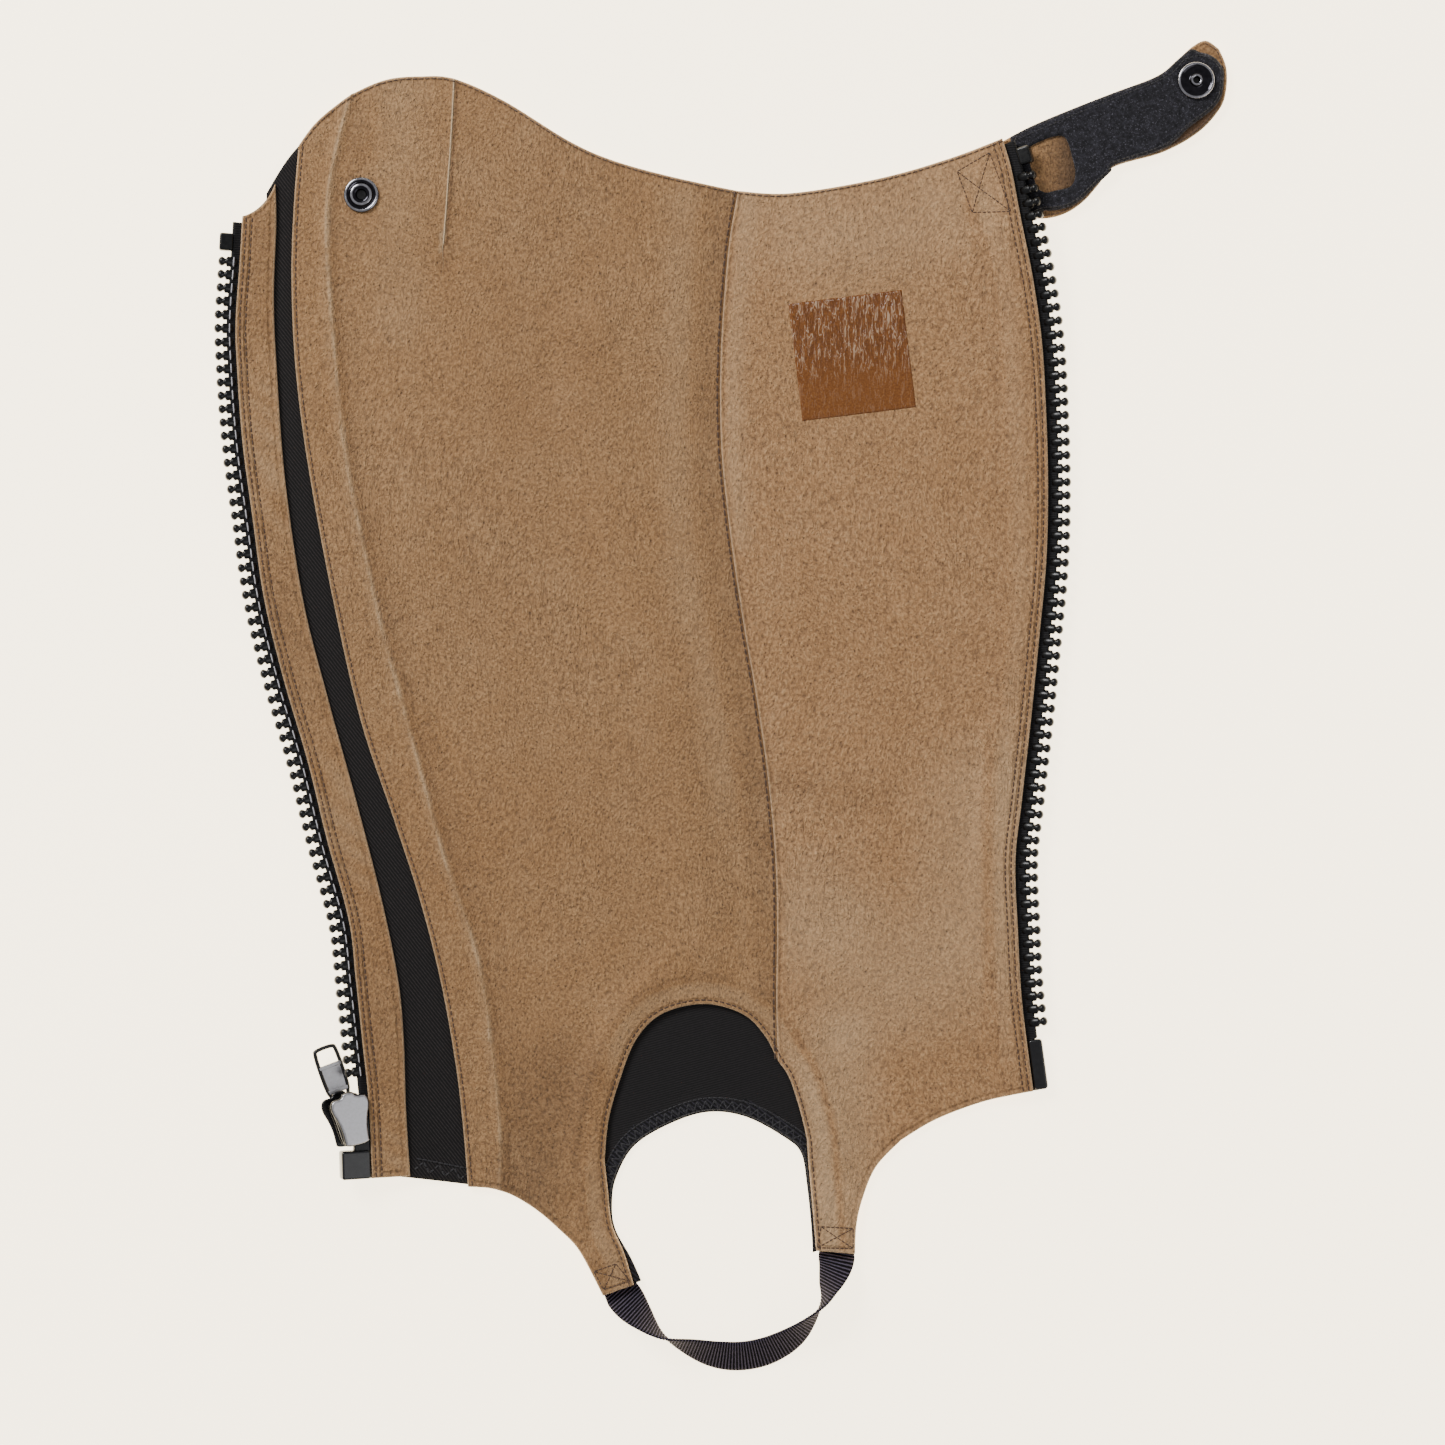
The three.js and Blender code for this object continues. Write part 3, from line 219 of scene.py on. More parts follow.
def offsetLine(points, amount):
    # A line moved sideways, to the left of its run when the amount is positive
    along = unit(np.gradient(points, axis=0))
    return points + np.c_[-along[:, 1], along[:, 0]] * amount


def acrossAt(points, y):
    return np.interp(y, points[::-1, 1], points[::-1, 0])


def distanceTo(points, x, y, every=None):
    # Shortest way from each place to a line: the nearest of its corners, then the two sides that meet there
    thin = points[:: every or max(1, len(points) // 200)]
    there = np.empty(x.shape)
    for start in range(0, x.size, 4000):
        part = slice(start, start + 4000)
        here = np.c_[x.flat[part], y.flat[part]]
        square = (here[:, :1] - thin[:, 0]) ** 2 + (here[:, 1:] - thin[:, 1]) ** 2
        k = square.argmin(axis=1)
        best = np.sqrt(square[np.arange(len(k)), k])
        for other in (np.maximum(k - 1, 0), np.minimum(k + 1, len(thin) - 1)):
            side = thin[other] - thin[k]
            length = np.linalg.norm(side, axis=1)
            share = np.clip(((here - thin[k]) * side).sum(axis=1) / np.maximum(length, 1e-9) ** 2, 0, 1)
            gap = np.linalg.norm(here - thin[k] - side * share[:, None], axis=1)
            best = np.where(length < 6, np.minimum(best, gap), best)
        there.flat[part] = best
    return there


def signedDistance(points, x, y):
    # The same way, positive to the right of the line's run
    thin = points[:: max(1, len(points) // 260)]
    run = np.gradient(thin, axis=0)
    there = np.empty(x.shape)
    for start in range(0, x.size, 4000):
        part = slice(start, start + 4000)
        gapX, gapY = x.flat[part][:, None] - thin[:, 0], y.flat[part][:, None] - thin[:, 1]
        square = gapX**2 + gapY**2
        k = square.argmin(axis=1)
        rows = np.arange(len(k))
        side = run[k, 1] * gapX[rows, k] - run[k, 0] * gapY[rows, k]
        there.flat[part] = np.sqrt(square[rows, k]) * np.sign(side)
    return there


socketCentre = plan((0.155, 0.902))
studCentre = plan((1.181, 0.9955))
tabCentreY = 0.92 * chap["height"]
tuckCentres = plan([(0.469, 0.012), (0.739, 0.048)])
sliderFromFoot = 23.6
frontLength = lengthOf(curve["frontEdge"])
sliderCentreY = evenly(curve["frontEdge"], [1 - sliderFromFoot / frontLength])[0, 1]
for fold in folds + creases:
    fold["points"] = through(fold["line"], 261)


def curl(distance):
    return np.maximum(0, 1 - np.maximum(distance, -9) / curling["width"]) ** 2


def lift(x, y):
    # How far the lowest layer stands off the floor: it rises as the square of the nearness to either zip edge
    frontRise = curling["zip"] + curling["slider"] * bump((y - sliderCentreY) / curling["sliderReach"])
    backRise = curling["zip"] + curling["tab"] * bump((y - tabCentreY) / curling["tabReach"])
    front = frontRise * curl(x - acrossAt(curve["frontEdge"], y))
    return front + backRise * curl(acrossAt(curve["backEdge"], y) - x)


def strapRoom(x, y):
    nearest = np.minimum(*[np.hypot(x - c[0], y - c[1]) for c in tuckCentres])
    return 1.6 * plateau(nearest, 10, chap["lapFade"])


def leatherLow(x, y):
    # Underside of the leather: lift, plus the highest of the layers under it, plus its folds
    over = chap["fabric"] + chap["room"]
    fromBack = acrossAt(curve["backEdge"], y) - x
    layers = [
        over * plateau(x - acrossAt(curve["gussetBack"], y), chap["lapFlat"], chap["lapFade"]),
        over * plateau(fromBack, chap["lapFlat"], chap["lapFade"]),
        over * plateau(distanceTo(opening, x, y), chap["lapFlat"], chap["lapFade"]),
        1.3 * plateau(np.hypot(x - socketCentre[0], y - socketCentre[1]), 17, 30),
        0.9 * plateau(fromBack, 24, 12) * plateau(abs(y - tabCentreY), 24, 12),
    ]
    raised = sum(f["rise"] * bump(distanceTo(f["points"], x, y) / f["reach"]) for f in folds)
    return lift(x, y) + strapRoom(x, y) + np.max(layers, axis=0) + raised


def relief(x, y):
    # Low waves and sharper creases that stand on the even leather
    waves = 0.16 * np.sin(x / 19 + 1.2 * np.sin(y / 47)) * np.sin(y / 33 + 0.8) + 0.1 * np.sin((x + 0.7 * y) / 11.3)
    sharp = sum(c["rise"] * bump(distanceTo(c["points"], x, y) / c["reach"]) for c in creases)
    return waves + 0.15 + sharp


def leatherTop(x, y):
    return leatherLow(x, y) + chap["leather"] + relief(x, y)


# Pieces: points in local millimetres, faces, a material, and what rides on what
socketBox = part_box("snap_socket")
shift = np.array([(socketBox[0][0] + socketBox[1][0]) / 2, (socketBox[0][1] + socketBox[1][1]) / 2, 0])
shift -= np.r_[socketCentre, 0] / 1000


def makePiece(name, points, faces, material, body="chap", flat=None, attributes=None):
    mesh = bpy.data.meshes.new(name)
    places = np.asarray(points, float) / 1000 + shift
    mesh.from_pydata(places.tolist(), [], [list(map(int, face)) for face in faces])
    smooth = np.array([len(face) < 5 for face in faces])
    if flat is not None:
        smooth[flat] = False
    mesh.polygons.foreach_set("use_smooth", smooth)
    for key, values in (attributes or {}).items():
        mesh.attributes.new(key, "FLOAT", "POINT").data.foreach_set("value", np.asarray(values, np.float32))
    mesh.materials.append(material)
    mesh.update()
    piece = bpy.data.objects.new(name, mesh)
    bpy.context.scene.collection.objects.link(piece)
    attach(piece, body)
    return piece


def gridFaces(rows, columns, wrap=False):
    # Faces of a grid of points, rows by columns, joined round when wrap is set
    i = np.arange(rows - 1)[:, None] * columns
    j = np.arange(columns if wrap else columns - 1)[None, :]
    k = (j + 1) % columns
    return np.stack([i + j, i + k, i + columns + k, i + columns + j], axis=-1).reshape(-1, 4)


def tube(rows, columns):
    # Faces of rings joined one after the other, with a flat face at either end
    last = columns * (rows - 1)
    ends = [list(range(columns))[::-1], list(range(last, last + columns))]
    return gridFaces(rows, columns, wrap=True).tolist() + ends


def looped(rows, columns):
    # Faces of rings of which the last meets the first
    return (gridFaces(rows + 1, columns, wrap=True) % (rows * columns)).tolist()


def flipped(faces):
    return [face[::-1] for face in faces]


def secondMaterial(piece, material, marked):
    # Another material on the faces that are marked
    piece.data.materials.append(material)
    piece.data.polygons.foreach_set("material_index", np.asarray(marked).astype(np.int32))


def blended(top, bottom, left, right, across, down):
    # Points between four borders: the two ruled surfaces added, less the one through the four corners
    t, b = evenly(top, across), evenly(bottom, across)
    return blendedPoints(t, b, evenly(left, down), evenly(right, down), across, down)


def blendedPoints(t, b, l, r, across, down):
    u, v = np.asarray(across)[None, :, None], np.asarray(down)[:, None, None]
    grid = (1 - u) * l[:, None] + u * r[:, None] + (1 - v) * t[None] + v * b[None]
    grid = grid - ((1 - u) * (1 - v) * t[0] + u * (1 - v) * t[-1] + (1 - u) * v * b[0] + u * v * b[-1])
    grid[0], grid[-1], grid[:, 0], grid[:, -1] = t, b, l, r
    return grid


def joined(grids):
    # One list of plan points and faces, wound anticlockwise, from grids that share borders
    points = np.concatenate([grid.reshape(-1, 2) for grid in grids])
    faces, start = [], 0
    for grid in grids:
        faces.append(gridFaces(*grid.shape[:2]) + start)
        start += grid.shape[0] * grid.shape[1]
    faces = np.concatenate(faces)
    unused, first, number = np.unique(np.round(points, 2), axis=0, return_index=True, return_inverse=True)
    points, faces = points[first], number.reshape(-1)[faces]
    faces = faces[[len(set(face)) == 4 for face in faces.tolist()]]
    a, b, c, d = (points[faces[:, k]] for k in range(4))
    turn = (c - a)[:, 0] * (d - b)[:, 1] - (c - a)[:, 1] * (d - b)[:, 0]
    faces[turn < 0] = faces[turn < 0][:, ::-1]
    return points, faces


def rimOf(faces):
    # The edges that only one face uses, in that face's own direction
    edges = np.stack([faces, np.roll(faces, -1, axis=1)], axis=-1).reshape(-1, 2)
    key = np.sort(edges, axis=1)
    unused, number, uses = np.unique(key, axis=0, return_inverse=True, return_counts=True)
    return edges[uses[number.reshape(-1)] == 1]


def planArea(plane, faces):
    # Area in square metres of faces on a plan in millimetres
    x, y = plane[faces].transpose(2, 0, 1)
    return float(abs((x * np.roll(y, -1, 1) - np.roll(x, -1, 1) * y).sum(axis=1)).sum() / 2e6)


def wallPiece(name, plane, faces, low, high, material, attributes=None):
    # A closed sheet: a top and an underside over the same plan, and a wall round the rim
    count = len(plane)
    points = np.concatenate([np.c_[plane, high], np.c_[plane, low]])
    rim = rimOf(faces)
    walls = np.stack([rim[:, 1], rim[:, 0], rim[:, 0] + count, rim[:, 1] + count], axis=1)
    every = faces.tolist() + (faces[:, ::-1] + count).tolist() + walls.tolist()
    flat = np.arange(len(faces) * 2, len(every))
    both = {key: np.r_[values, values] for key, values in (attributes or {}).items()}
    return makePiece(name, points, every, material, flat=flat, attributes=both)


def edged(count, width, ends=(True, True)):
    # Shares from 0 to 1 that crowd at an edge, so that its rounding and its stitch groove have lines to follow
    close = np.array([0.0, 0.18, 0.45, 0.9, 1.7, 2.6]) / width
    inner = np.linspace(close[-1] if ends[0] else 0, 1 - close[-1] if ends[1] else 1, count)
    start = close[:-1] if ends[0] else []
    end = (1 - close[:-1])[::-1] if ends[1] else []
    return np.r_[start, inner, end]


def rounded(distance, reach=0.9, depth=0.55):
    # How far a cut edge falls away: a quarter of a circle over its reach
    near = np.clip(1 - distance / reach, 0, 1)
    return depth * (1 - np.sqrt(1 - near * near))


# Materials
def linear(code):
    parts = [int(code[i : i + 2], 16) / 255 for i in (1, 3, 5)]
    return [p / 12.92 if p <= 0.04045 else ((p + 0.055) / 1.055) ** 2.4 for p in parts] + [1.0]


def node(tree, kind, links=None, **settings):
    made = tree.nodes.new(kind)
    for key, value in settings.items():
        setattr(made, key, value)
    for key, value in (links or {}).items():
        socket = made.inputs[key]
        if isinstance(value, bpy.types.NodeSocket):
            tree.links.new(value, socket)
        else:
            socket.default_value = value
    return made


def newMaterial(name, **shader):
    # A material with its node tree, its shader, and each point's place on the object
    material = bpy.data.materials.new(name)
    material.use_nodes = True
    tree = material.node_tree
    bsdf = tree.nodes["Principled BSDF"]
    for key, value in shader.items():
        bsdf.inputs[key.replace("_", " ")].default_value = value
    return material, tree, bsdf, node(tree, "ShaderNodeTexCoord").outputs["Object"]


def spread(tree, value, low, high, toLow=0.0, toHigh=1.0, **settings):
    # A value carried evenly from one range to another
    links = {"Value": value, "From Min": low, "From Max": high, "To Min": toLow, "To Max": toHigh}
    return node(tree, "ShaderNodeMapRange", links, **settings).outputs["Result"]


def ramp(tree, value, low, high, colours):
    # Colours spread evenly between two values of a factor
    made = node(tree, "ShaderNodeValToRGB", {"Fac": spread(tree, value, low, high)})
    band = made.color_ramp
    band.elements[0].color, band.elements[1].color = linear(colours[0]), linear(colours[-1])
    for index, colour in enumerate(colours[1:-1], 1):
        band.elements.new(index / (len(colours) - 1)).color = linear(colour)
    return made.outputs["Color"]


def mathNode(tree, operation, first, second=0.0, third=0.0):
    return node(tree, "ShaderNodeMath", {0: first, 1: second, 2: third}, operation=operation).outputs["Value"]


def times(tree, first, second):
    return mathNode(tree, "MULTIPLY", first, second)


def plus(tree, height, value, factor):
    # A height with a share of another value added
    return mathNode(tree, "MULTIPLY_ADD", value, factor, height)


def mixed(tree, factor, first, second, blend="MIX"):
    links = {0: factor, 6: first, 7: second}
    return node(tree, "ShaderNodeMix", links, data_type="RGBA", blend_type=blend).outputs[2]


def tinted(tree, base, factor, share, colour):
    # The base under a share of a colour, where a factor says so
    return mixed(tree, times(tree, factor, share), base, linear(colour))


def near(tree, value, centre, reach):
    # 1 where a value meets its centre, falling to 0 at its reach
    gap = mathNode(tree, "ABSOLUTE", mathNode(tree, "SUBTRACT", value, centre))
    return spread(tree, gap, 0.0, reach, 1.0, 0.0, interpolation_type="SMOOTHSTEP")


def carried(tree, key):
    # A number that the mesh carries at each point
    return node(tree, "ShaderNodeAttribute", attribute_name=key).outputs["Fac"]


def turned(tree, where, degrees, stretch=1.0):
    links = {"Vector": where, "Rotation": (0, 0, math.radians(degrees)), "Scale": (1.0, stretch, 1.0)}
    return node(tree, "ShaderNodeMapping", links).outputs[0]


def noise(tree, where, scale, detail, **more):
    links = {"Vector": where, "Scale": scale, "Detail": detail, **more}
    return node(tree, "ShaderNodeTexNoise", links).outputs["Fac"]


def cellular(tree, where, scale, **settings):
    links = {"Vector": where, "Scale": scale, "Randomness": 1.0}
    return node(tree, "ShaderNodeTexVoronoi", links, **settings).outputs["Distance"]


def dressed(tree, bsdf, base, height, strength, distance):
    # Gives the shader its colour and its bump
    tree.links.new(base, bsdf.inputs["Base Color"])
    bumped = node(tree, "ShaderNodeBump", {"Strength": strength, "Distance": distance, "Height": height})
    tree.links.new(bumped.outputs["Normal"], bsdf.inputs["Normal"])


def leatherMaterial(name, tone):
    # Pigskin lining, vegetable tanned and drum dyed: matt, with short slanting pores and cloudy dye
    material, tree, bsdf, where = newMaterial(name, Roughness=0.62, Specular_IOR_Level=0.32, Sheen_Weight=0.12,
                                              Sheen_Roughness=0.5)
    drift = node(tree, "ShaderNodeTexNoise", {"Vector": where, "Scale": 9.0, "Detail": 2.0})
    slant = node(tree, "ShaderNodeVectorMath", {0: drift.outputs["Color"], 1: (0.02, 0.02, 0.0)}, operation="MULTIPLY")
    moved = node(tree, "ShaderNodeVectorMath", {0: where, 1: slant.outputs[0]}, operation="ADD").outputs[0]
    grain = turned(tree, moved, 24, 0.72)
    # pores under a millimetre apart across the grain, and pebbles of about a millimetre
    pores = noise(tree, grain, 1150.0, 3.0, Roughness=0.6)
    pebbles = cellular(tree, grain, tone["cells"], feature="SMOOTH_F1")
    clouds = noise(tree, where, 13.0, 4.0, Roughness=0.5, Distortion=0.8)
    patches = noise(tree, where, 70.0, 3.0, Roughness=0.6)
    base = ramp(tree, clouds, 0.3, 0.7, tone["clouds"])
    base = mixed(tree, 0.45, base, ramp(tree, patches, 0.3, 0.7, tone["patches"]))
    dots = ramp(tree, pores, 0.38, 0.6, ["#5c4f44", "#cbbbaa", "#fffaf4"])
    base = mixed(tree, 0.46, base, dots, "MULTIPLY")
    cells = ramp(tree, pebbles, 0.1, 0.75, ["#ffffff", "#e6d6c6", "#8f7a68"])
    base = mixed(tree, tone["pebbled"], base, cells, "MULTIPLY")
    # hair pores, about 1.5 mm apart
    pits = near(tree, cellular(tree, grain, 640.0), 0.0, 0.3)
    base = tinted(tree, base, pits, 0.42, "#5c4634")
    # veins: thin slanting wrinkles where a stretched noise crosses its middle, in some places more than in others
    lean, share = tone["veins"]
    wrinkled = noise(tree, turned(tree, moved, lean, 0.3), 330.0, 2.0, Distortion=0.6)
    veins = times(tree, near(tree, wrinkled, 0.5, 0.035), spread(tree, clouds, 0.42, 0.6))
    base = tinted(tree, base, veins, share, "#5b3d24")
    # painted shade and highlight: the mesh carries a share of painted darkening, below 0, or of painted lightening
    paintedTone = carried(tree, "polish")
    base = mixed(tree, mathNode(tree, "MAXIMUM", times(tree, paintedTone, -1.0), 0.0), base, linear("#2c1d13"))
    base = mixed(tree, mathNode(tree, "MAXIMUM", paintedTone, 0.0), base, linear("#f0d2a8"))
    height = plus(tree, times(tree, pebbles, -0.8), pores, 1.5)
    height = plus(tree, height, pits, -0.7)
    height = plus(tree, height, veins, -0.45)
    # raised lines, with a painted highlight on one side and painted shade on the other, broken up by a noise
    for key, glint, shadow, wide, least in tone["lines"]:
        away, patchiness = carried(tree, key), spread(tree, patches, 0.38, 0.56, least)
        light = times(tree, near(tree, away, 0.0, wide), patchiness)
        shade = times(tree, near(tree, away, 1.9 * wide, 1.8 * wide), patchiness)
        base = tinted(tree, base, light, glint, "#f3d4aa")
        base = tinted(tree, base, shade, shadow, "#4a2f1a")
        height = plus(tree, height, light, 2.0 * glint)
    # grooves under the stitches, darkened as painted shade, the ridge between the two rows beside a zip, and the pale
    # cut edge
    edge, zipSide = carried(tree, "edge"), carried(tree, "zipSide")
    grooveDepthAndShade = mathNode(tree, "MAXIMUM", near(tree, edge, 1.75, 1.1), near(tree, zipSide, 3.9, 1.0))
    base = tinted(tree, base, grooveDepthAndShade, 0.12, "#6d4c30")
    base = tinted(tree, base, near(tree, edge, 0.0, 0.8), 0.55, tone["edge"])
    height = plus(tree, height, grooveDepthAndShade, -0.8)
    height = plus(tree, height, near(tree, zipSide, 2.8, 0.8), 0.5)
    dressed(tree, bsdf, base, height, 0.9, 0.0006)
    tree.links.new(spread(tree, patches, 0.3, 0.7, 0.56, 0.7), bsdf.inputs["Roughness"])
    return material


def clothMaterial(name, tones, pitch, angle, shine, depth=0.00012):
    # Woven or knitted black polyester: fine slanting ribs that catch a little light
    material, tree, bsdf, where = newMaterial(name, Roughness=0.78, Specular_IOR_Level=0.3, Sheen_Weight=shine,
                                              Sheen_Roughness=0.4)
    # the wave texture repeats every 2 pi / 20 units of its scale
    ribs = node(tree, "ShaderNodeTexWave", {"Vector": turned(tree, where, angle), "Scale": 0.314 / pitch,
                                            "Distortion": 0.6, "Detail": 1.0, "Detail Scale": 3.0}).outputs["Fac"]
    both = plus(tree, times(tree, noise(tree, where, 1500.0, 2.0), 0.5), ribs, 0.6)
    dressed(tree, bsdf, ramp(tree, both, 0.2, 0.9, tones), both, 0.8, depth)
    return material


def hardMaterial(name, tones, scale, low, high, depth=0.00001, **shader):
    # A hard part: faint speckle in its colour, roughness that varies between two values, and a slight unevenness
    material, tree, bsdf, where = newMaterial(name, **shader)
    speckle = noise(tree, where, scale, 3.0)
    dressed(tree, bsdf, ramp(tree, speckle, 0.3, 0.7, tones), speckle, 0.5, depth)
    tree.links.new(spread(tree, speckle, 0.3, 0.7, low, high), bsdf.inputs["Roughness"])
    return material


def suedeMaterial(name, tones):
    # Brushed nap: blotches of a few millimetres and light flecks where fibres stand up
    material, tree, bsdf, where = newMaterial(name, Roughness=0.85, Specular_IOR_Level=0.25, Sheen_Weight=0.3,
                                              Sheen_Roughness=0.4)
    blotches = noise(tree, where, 640.0, 4.0, Roughness=0.75)
    flecks = noise(tree, where, 1700.0, 2.0, Distortion=0.6)
    base = ramp(tree, blotches, 0.33, 0.67, tones[:3])
    base = tinted(tree, base, near(tree, flecks, 0.72, 0.16), 0.6, tones[3])
    dressed(tree, bsdf, base, mathNode(tree, "ADD", blotches, flecks), 0.8, 0.0003)
    return material


def webbingMaterial(name, tones):
    # Grosgrain webbing: ribs that the mesh numbers, their crests painted pale as highlights, and fine threads along
    # them
    material, tree, bsdf, where = newMaterial(name, Roughness=0.9, Specular_IOR_Level=0.12)
    both = plus(tree, times(tree, noise(tree, where, 1600.0, 2.0), 0.35), carried(tree, "rib"), 0.75)
    dressed(tree, bsdf, ramp(tree, both, 0.1, 1.0, tones), both, 0.7, 0.00012)
    return material


def filmMaterial(name, tones):
    # Glossy transfer film that has crinkled lengthwise, most of all over its upper part, which the mesh marks; its
    # crinkles carry painted highlights and painted shade
    material, tree, bsdf, where = newMaterial(name, Roughness=0.24, Specular_IOR_Level=0.45, Coat_Weight=0.2,
                                              Coat_Roughness=0.12)
    creased = noise(tree, turned(tree, where, -7, 0.17), 900.0, 1.0, Distortion=1.1)
    speckle, crinkle = noise(tree, where, 1500.0, 2.0), carried(tree, "crinkle")
    # painted highlights along the crinkle ridges and painted shade in the valleys between them
    ridge = times(tree, near(tree, creased, 0.6, 0.055), crinkle)
    creaseShade = times(tree, near(tree, creased, 0.4, 0.1), crinkle)
    base = tinted(tree, ramp(tree, speckle, 0.3, 0.7, tones[:3]), creaseShade, 0.5, "#4a260b")
    base = tinted(tree, base, ridge, 0.42, tones[3])
    dressed(tree, bsdf, base, plus(tree, times(tree, speckle, 0.2), creased, crinkle), 1.0, 0.0006)
    return material


# Each line on the leather: its attribute, its painted glint, its painted shadow, its half width in mm, and its least
# share
frontTone = {"cells": 900.0, "pebbled": 0.4, "veins": (38, 0.12), "clouds": ["#ab8255", "#b68e61", "#c19a6e"],
             "patches": ["#ad8557", "#b89164", "#c29d72"], "edge": "#dcbb92",
             "lines": [("dart", 0.8, 0.5, 0.6, 1.0), ("ridge", 0.24, 0.16, 1.5, 0.15)]}
backTone = {"cells": 760.0, "pebbled": 0.55, "veins": (80, 0.2), "clouds": ["#bb9163", "#c79d6f", "#d1a97c"],
            "patches": ["#bd9466", "#c9a072", "#d3ac80"], "edge": "#e2c39c", "lines": []}
frontLeather = leatherMaterial("tannedPigskinFront", frontTone)
backLeather = leatherMaterial("tannedPigskinBack", backTone)
twill = clothMaterial("elasticTwill", ["#040303", "#0f0d0d", "#302b2a"], 0.00105, -38, 0.05, 0.0003)
knit = clothMaterial("stretchKnit", ["#070606", "#110f0f", "#231f20"], 0.0009, 75, 0.08)
hemKnit = clothMaterial("ribbedHemKnit", ["#050405", "#0e0d10", "#2e2b33"], 0.0014, -52, 0.12, 0.0004)
webbingCloth = webbingMaterial("polyesterWebbing", ["#040304", "#131015", "#5d5666"])
suede = suedeMaterial("nappedSuede", ["#101012", "#212024", "#34333a", "#66646e"])
tapeCloth = clothMaterial("wovenZipTape", ["#050506", "#0d0c0e", "#1d1c1f"], 0.0009, 90, 0.12, 0.0002)
acetal = hardMaterial("mouldedAcetal", ["#040405", "#080809"], 700.0, 0.24, 0.38, Specular_IOR_Level=0.4)
glossyAcetal = hardMaterial("glossyAcetal", ["#0d0d0f", "#151517"], 500.0, 0.16, 0.26, Specular_IOR_Level=0.6)
nickel = hardMaterial("satinNickel", ["#b9b8ba", "#cdccd0"], 900.0, 0.3, 0.44, Metallic=1.0)
darkNickel = hardMaterial("blackNickel", ["#29282c", "#37363b"], 600.0, 0.1, 0.18, Metallic=1.0)
lacquer = hardMaterial("lacqueredZinc", ["#070708", "#101012"], 600.0, 0.22, 0.34, Specular_IOR_Level=0.5)
# lighter nickel for the painted highlights on the press stud's crests
highlightNickel = hardMaterial("highlightNickel", ["#9a999f", "#b5b4ba"], 600.0, 0.16, 0.26, Metallic=1.0)
film = filmMaterial("glossyTransferFilm", ["#6c3c15", "#79471a", "#875524", "#ecd2b2"])
thread = hardMaterial("bondedThread", ["#3c2817", "#583b22"], 1800.0, 0.5, 0.65, 0.00005, Sheen_Weight=0.2)
# pale colour for the painted highlights on the front teeth's feet
toothGlint = hardMaterial("toothGlint", ["#a9a7ad", "#c9c7cc"], 1800.0, 0.4, 0.5, 0.00003)
blackThread = hardMaterial("blackThread", ["#141215", "#252227"], 1800.0, 0.5, 0.6, 0.00005, Sheen_Weight=0.2)
print("materials made")

# Painted shade and painted highlight over the leather: lines and spots that are darker or paler, with their reach in
# millimetres
polish = [
    {"line": [(0.141, 0.984), (0.12, 0.9), (0.117, 0.817), (0.137, 0.687), (0.17, 0.578), (0.208, 0.479),
              (0.256, 0.363), (0.297, 0.278), (0.315, 0.204), (0.325, 0.135)], "tone": 0.08, "reach": 4.0},
    {"line": [(0.155, 0.97), (0.137, 0.9), (0.134, 0.817), (0.155, 0.687), (0.188, 0.578), (0.226, 0.479),
              (0.274, 0.363), (0.318, 0.278), (0.338, 0.204), (0.35, 0.135)], "tone": -0.1, "reach": 8.0},
    {"line": [(0.598, 0.9), (0.588, 0.82), (0.583, 0.72), (0.59, 0.63), (0.607, 0.55), (0.63, 0.46), (0.65, 0.36),
              (0.653, 0.25)], "tone": -0.16, "reach": 9.0},
    {"line": [(0.55, 0.9), (0.545, 0.8), (0.54, 0.7), (0.55, 0.6), (0.58, 0.5), (0.6, 0.4)], "tone": 0.06,
     "reach": 10.0},
    {"line": [(0.63, 0.9), (0.615, 0.8), (0.61, 0.7), (0.62, 0.62)], "tone": 0.1, "reach": 8.0},
    {"line": [(0.36, 0.09), (0.38, 0.13), (0.4, 0.18)], "tone": -0.28, "reach": 26.0},
    {"line": [(0.36, 0.95), (0.36, 0.75), (0.33, 0.6)], "tone": -0.05, "reach": 40.0},
    {"line": [(0.2, 0.99), (0.2, 0.9), (0.2, 0.8)], "tone": 0.05, "reach": 16.0},
    {"line": [(0.7, 0.88), (0.78, 0.87), (0.88, 0.9)], "tone": 0.1, "reach": 34.0},
    {"line": [(0.72, 0.3), (0.8, 0.26), (0.9, 0.3), (0.93, 0.4)], "tone": 0.13, "reach": 40.0},
    {"line": [(0.74, 0.04), (0.74, 0.12), (0.74, 0.2)], "tone": 0.16, "reach": 24.0},
    {"line": [(0.2548, 0.87), (0.254, 0.862), (0.2535, 0.856)], "tone": 0.3, "reach": 2.2},
    {"line": [(0.259, 0.862), (0.259, 0.853), (0.254, 0.846)], "tone": -0.2, "reach": 4.5},
    {"line": [(0.66, 0.42), (0.72, 0.412), (0.79, 0.41)], "tone": -0.1, "reach": 14.0},
    {"line": [(0.9, 0.9), (0.93, 0.8), (0.94, 0.6), (0.925, 0.4), (0.93, 0.2)], "tone": -0.1, "reach": 4.0},
    {"line": [(0.92, 0.9), (0.95, 0.8), (0.965, 0.6), (0.945, 0.4), (0.945, 0.2)], "tone": 0.05, "reach": 6.0},
]
for mark in polish:
    mark["points"] = through(mark["line"], 261)
# the facing round the arch: a pale band of painted highlight with a dark outline of painted shade, given by how far it
# lies from the opening
for away, tone, reach in ((5.5, 0.1, 5.5), (10.6, -0.15, 2.4)):
    polish.append({"points": offsetLine(opening, away)[::3], "tone": tone, "reach": reach})


# The share of painted shade, below 0, or of painted highlight at each place
def polishAt(x, y):
    return sum(mark["tone"] * bump(distanceTo(mark["points"], x, y) / mark["reach"]) for mark in polish)


